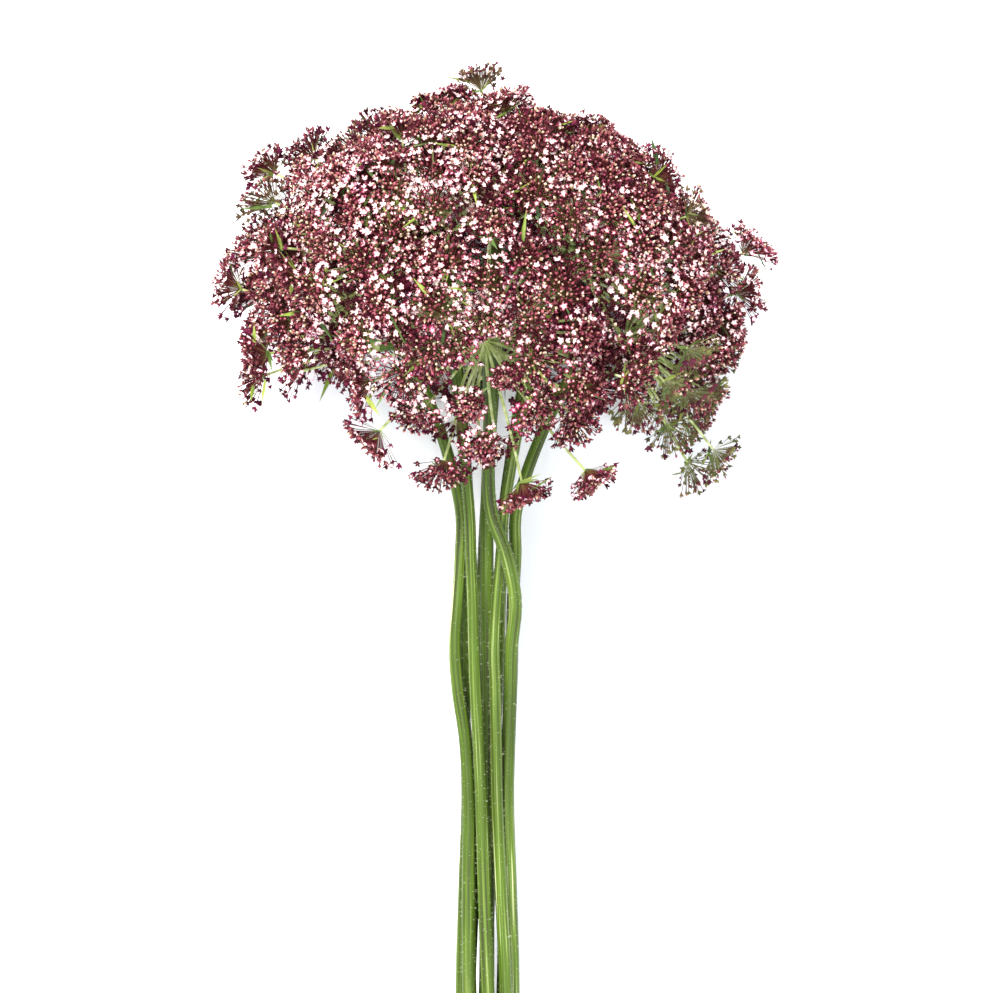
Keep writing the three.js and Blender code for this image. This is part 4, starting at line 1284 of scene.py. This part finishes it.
# Stem skin: fresh green, duller in places, with lengthwise streaks, a painted highlight along the rib crests
# and pale painted highlight lines here and there, and a pale pith at the cut end.
def stem_skin():
    material, tree = new_skin("stem_skin", 0.5, 0.25)
    around, along, ridge, core = (
        add(tree, ATTRIBUTE, attribute_name=name).outputs for name in ("around", "along", "ridge", "core")
    )
    run = add(tree, MATH, along["Fac"], STREAK_RUN, operation="MULTIPLY")
    lifted = add(tree, "ShaderNodeCombineXYZ", {"Z": run})
    place = add(tree, VECTOR_MATH, around["Vector"], lifted, operation="ADD")
    # The section that the stem is swept from has a radius of one.
    streaks = add(tree, NOISE, {"Vector": place, "Scale": USUAL_RADIUS / STREAK_WIDTH, "Detail": 2.5})
    # The rib crests are painted a little lighter: a painted highlight where the light catches them.
    crest_and_streak_highlight = add(tree, MATH, ridge["Fac"], 0.04, streaks, operation="MULTIPLY_ADD")
    # The palest stop paints highlight lines along the stem wherever the streaks run highest.
    green = add(tree, RAMP, crest_and_streak_highlight, stops={
        0.3: "#42482a", 0.43: "#4e6428", 0.56: "#5f7932", 0.66: "#80944f", 0.76: "#e2e6bc",
    })
    tone = add(tree, MAP_RANGE, patches(tree, TONE_PATCHES), 0.35, 0.65, 0.6, 0.82)
    toned = add(tree, "ShaderNodeHueSaturation", {"Saturation": 1.1, "Value": tone, "Color": green})
    pith = colour("#dfe6bd")
    base = add(tree, MIX, {"Factor": core["Fac"], "A": toned, "B": pith}, data_type="RGBA")
    return painted(material, base)


# Bristles: clear pale hairs that catch the light.
def hair_skin():
    material, tree = new_skin("stem_bristle", 0.35)
    base = add(tree, RAMP, patches(tree, HAIR_MOTTLE), stops={0.3: "#cfd8a8", 0.7: "#f2f3dc"})
    return painted(material, base)


# Natural rubber: matt tan with a grain from the mould, drawn at two thirds of a millimetre so that it shows.
def rubber_skin():
    material, tree = new_skin("natural_rubber", 0.58)
    grain = patches(tree, RUBBER_GRAIN, 3.0)
    bump = add(tree, "ShaderNodeBump", {"Strength": 0.3, "Distance": 0.1 * MM, "Height": grain})
    fill(tree, tree.nodes["Principled BSDF"].inputs["Normal"], bump)
    base = add(tree, RAMP, grain, stops={0.3: "#b58f5c", 0.7: "#d0ad78"})
    return painted(material, base)


# Matt white card for the floor, with a soft cloudiness of about 17 mm.
def matt_card():
    material, tree = new_skin("matt_card", 0.9)
    base = add(tree, RAMP, patches(tree, CARD_CLOUDS), stops={0.3: "#f4f6fa", 0.7: "#f7f9fc"})
    return painted(material, base)


# The whole bunch

def dress():
    skins = {
        "petal": petal_skin(), "bud": bud_skin(), "ray": ray_skin(), "pedicel": pedicel_skin(),
        "blade": blade_skin(), "stem": stem_skin(), "hair": hair_skin(),
    }
    shapes = {
        "floret_spots": spiral_spots("floret_spots", FLORETS, FLORET_ZONE, UMBELLET_EDGE, FLORET_FAN),
        "bud_spots": spiral_spots("bud_spots", BUDS, 0.0, BUD_ZONE, BUD_FAN, BUD_CROWDING),
        "inner_floret_spots": spiral_spots("inner_spots", INNER_FLORETS, 0.0, UMBELLET_EDGE, FLORET_FAN),
        "bracteole_spots": bracteole_spots(),
        "floret": floret_shape("floret", PETAL_EDGE),
        "inner_floret": floret_shape("inner_floret", INNER_PETAL_EDGE),
        "bud": bud_shape(),
        "pedicel": pedicel_shape(),
        "bracteole": bracteole_shape(),
        "bristle": bristle_shape(),
    }
    sweep = sweep_tree()
    layer = layer_tree()
    bristles = hair_tree()
    trees = {"bloom": bloom_tree(layer, shapes, skins), "frame": frame_tree(layer, sweep, shapes, skins)}
    heads = Heads()
    for index, flower in enumerate(FLOWERS):
        bloom, frame = umbel_pieces(flower, index, heads, trees)
        hub = hub_piece(flower, index, skins["ray"])
        for piece, slot in ((bloom, "florets"), (frame, "stem"), (hub, "stem")):
            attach(piece, "root")
            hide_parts(f"umbel_{index + 1}")
        stalk = stem_piece(flower, index, sweep, skins["stem"])
        hairs = hair_piece(stalk, index, bristles, shapes["bristle"], skins["hair"])
        for piece in (stalk, hairs, bract_piece(flower, index, skins["blade"])):
            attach(piece, "root")
            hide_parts(f"stem_{index + 1}")
    band = band_piece(sweep, rubber_skin())
    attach(band, "root")
    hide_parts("band")
    for shape in shapes.values():
        bpy.data.objects.remove(shape)


set_camera()
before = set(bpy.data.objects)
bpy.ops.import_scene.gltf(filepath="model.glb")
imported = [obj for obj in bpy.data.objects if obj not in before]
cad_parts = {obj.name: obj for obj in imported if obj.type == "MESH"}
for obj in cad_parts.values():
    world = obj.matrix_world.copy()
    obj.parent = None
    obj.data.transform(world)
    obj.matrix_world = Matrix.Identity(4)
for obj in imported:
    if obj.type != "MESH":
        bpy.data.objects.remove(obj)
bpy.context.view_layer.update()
set_floor()
set_light()
dress()
bpy.context.view_layer.update()
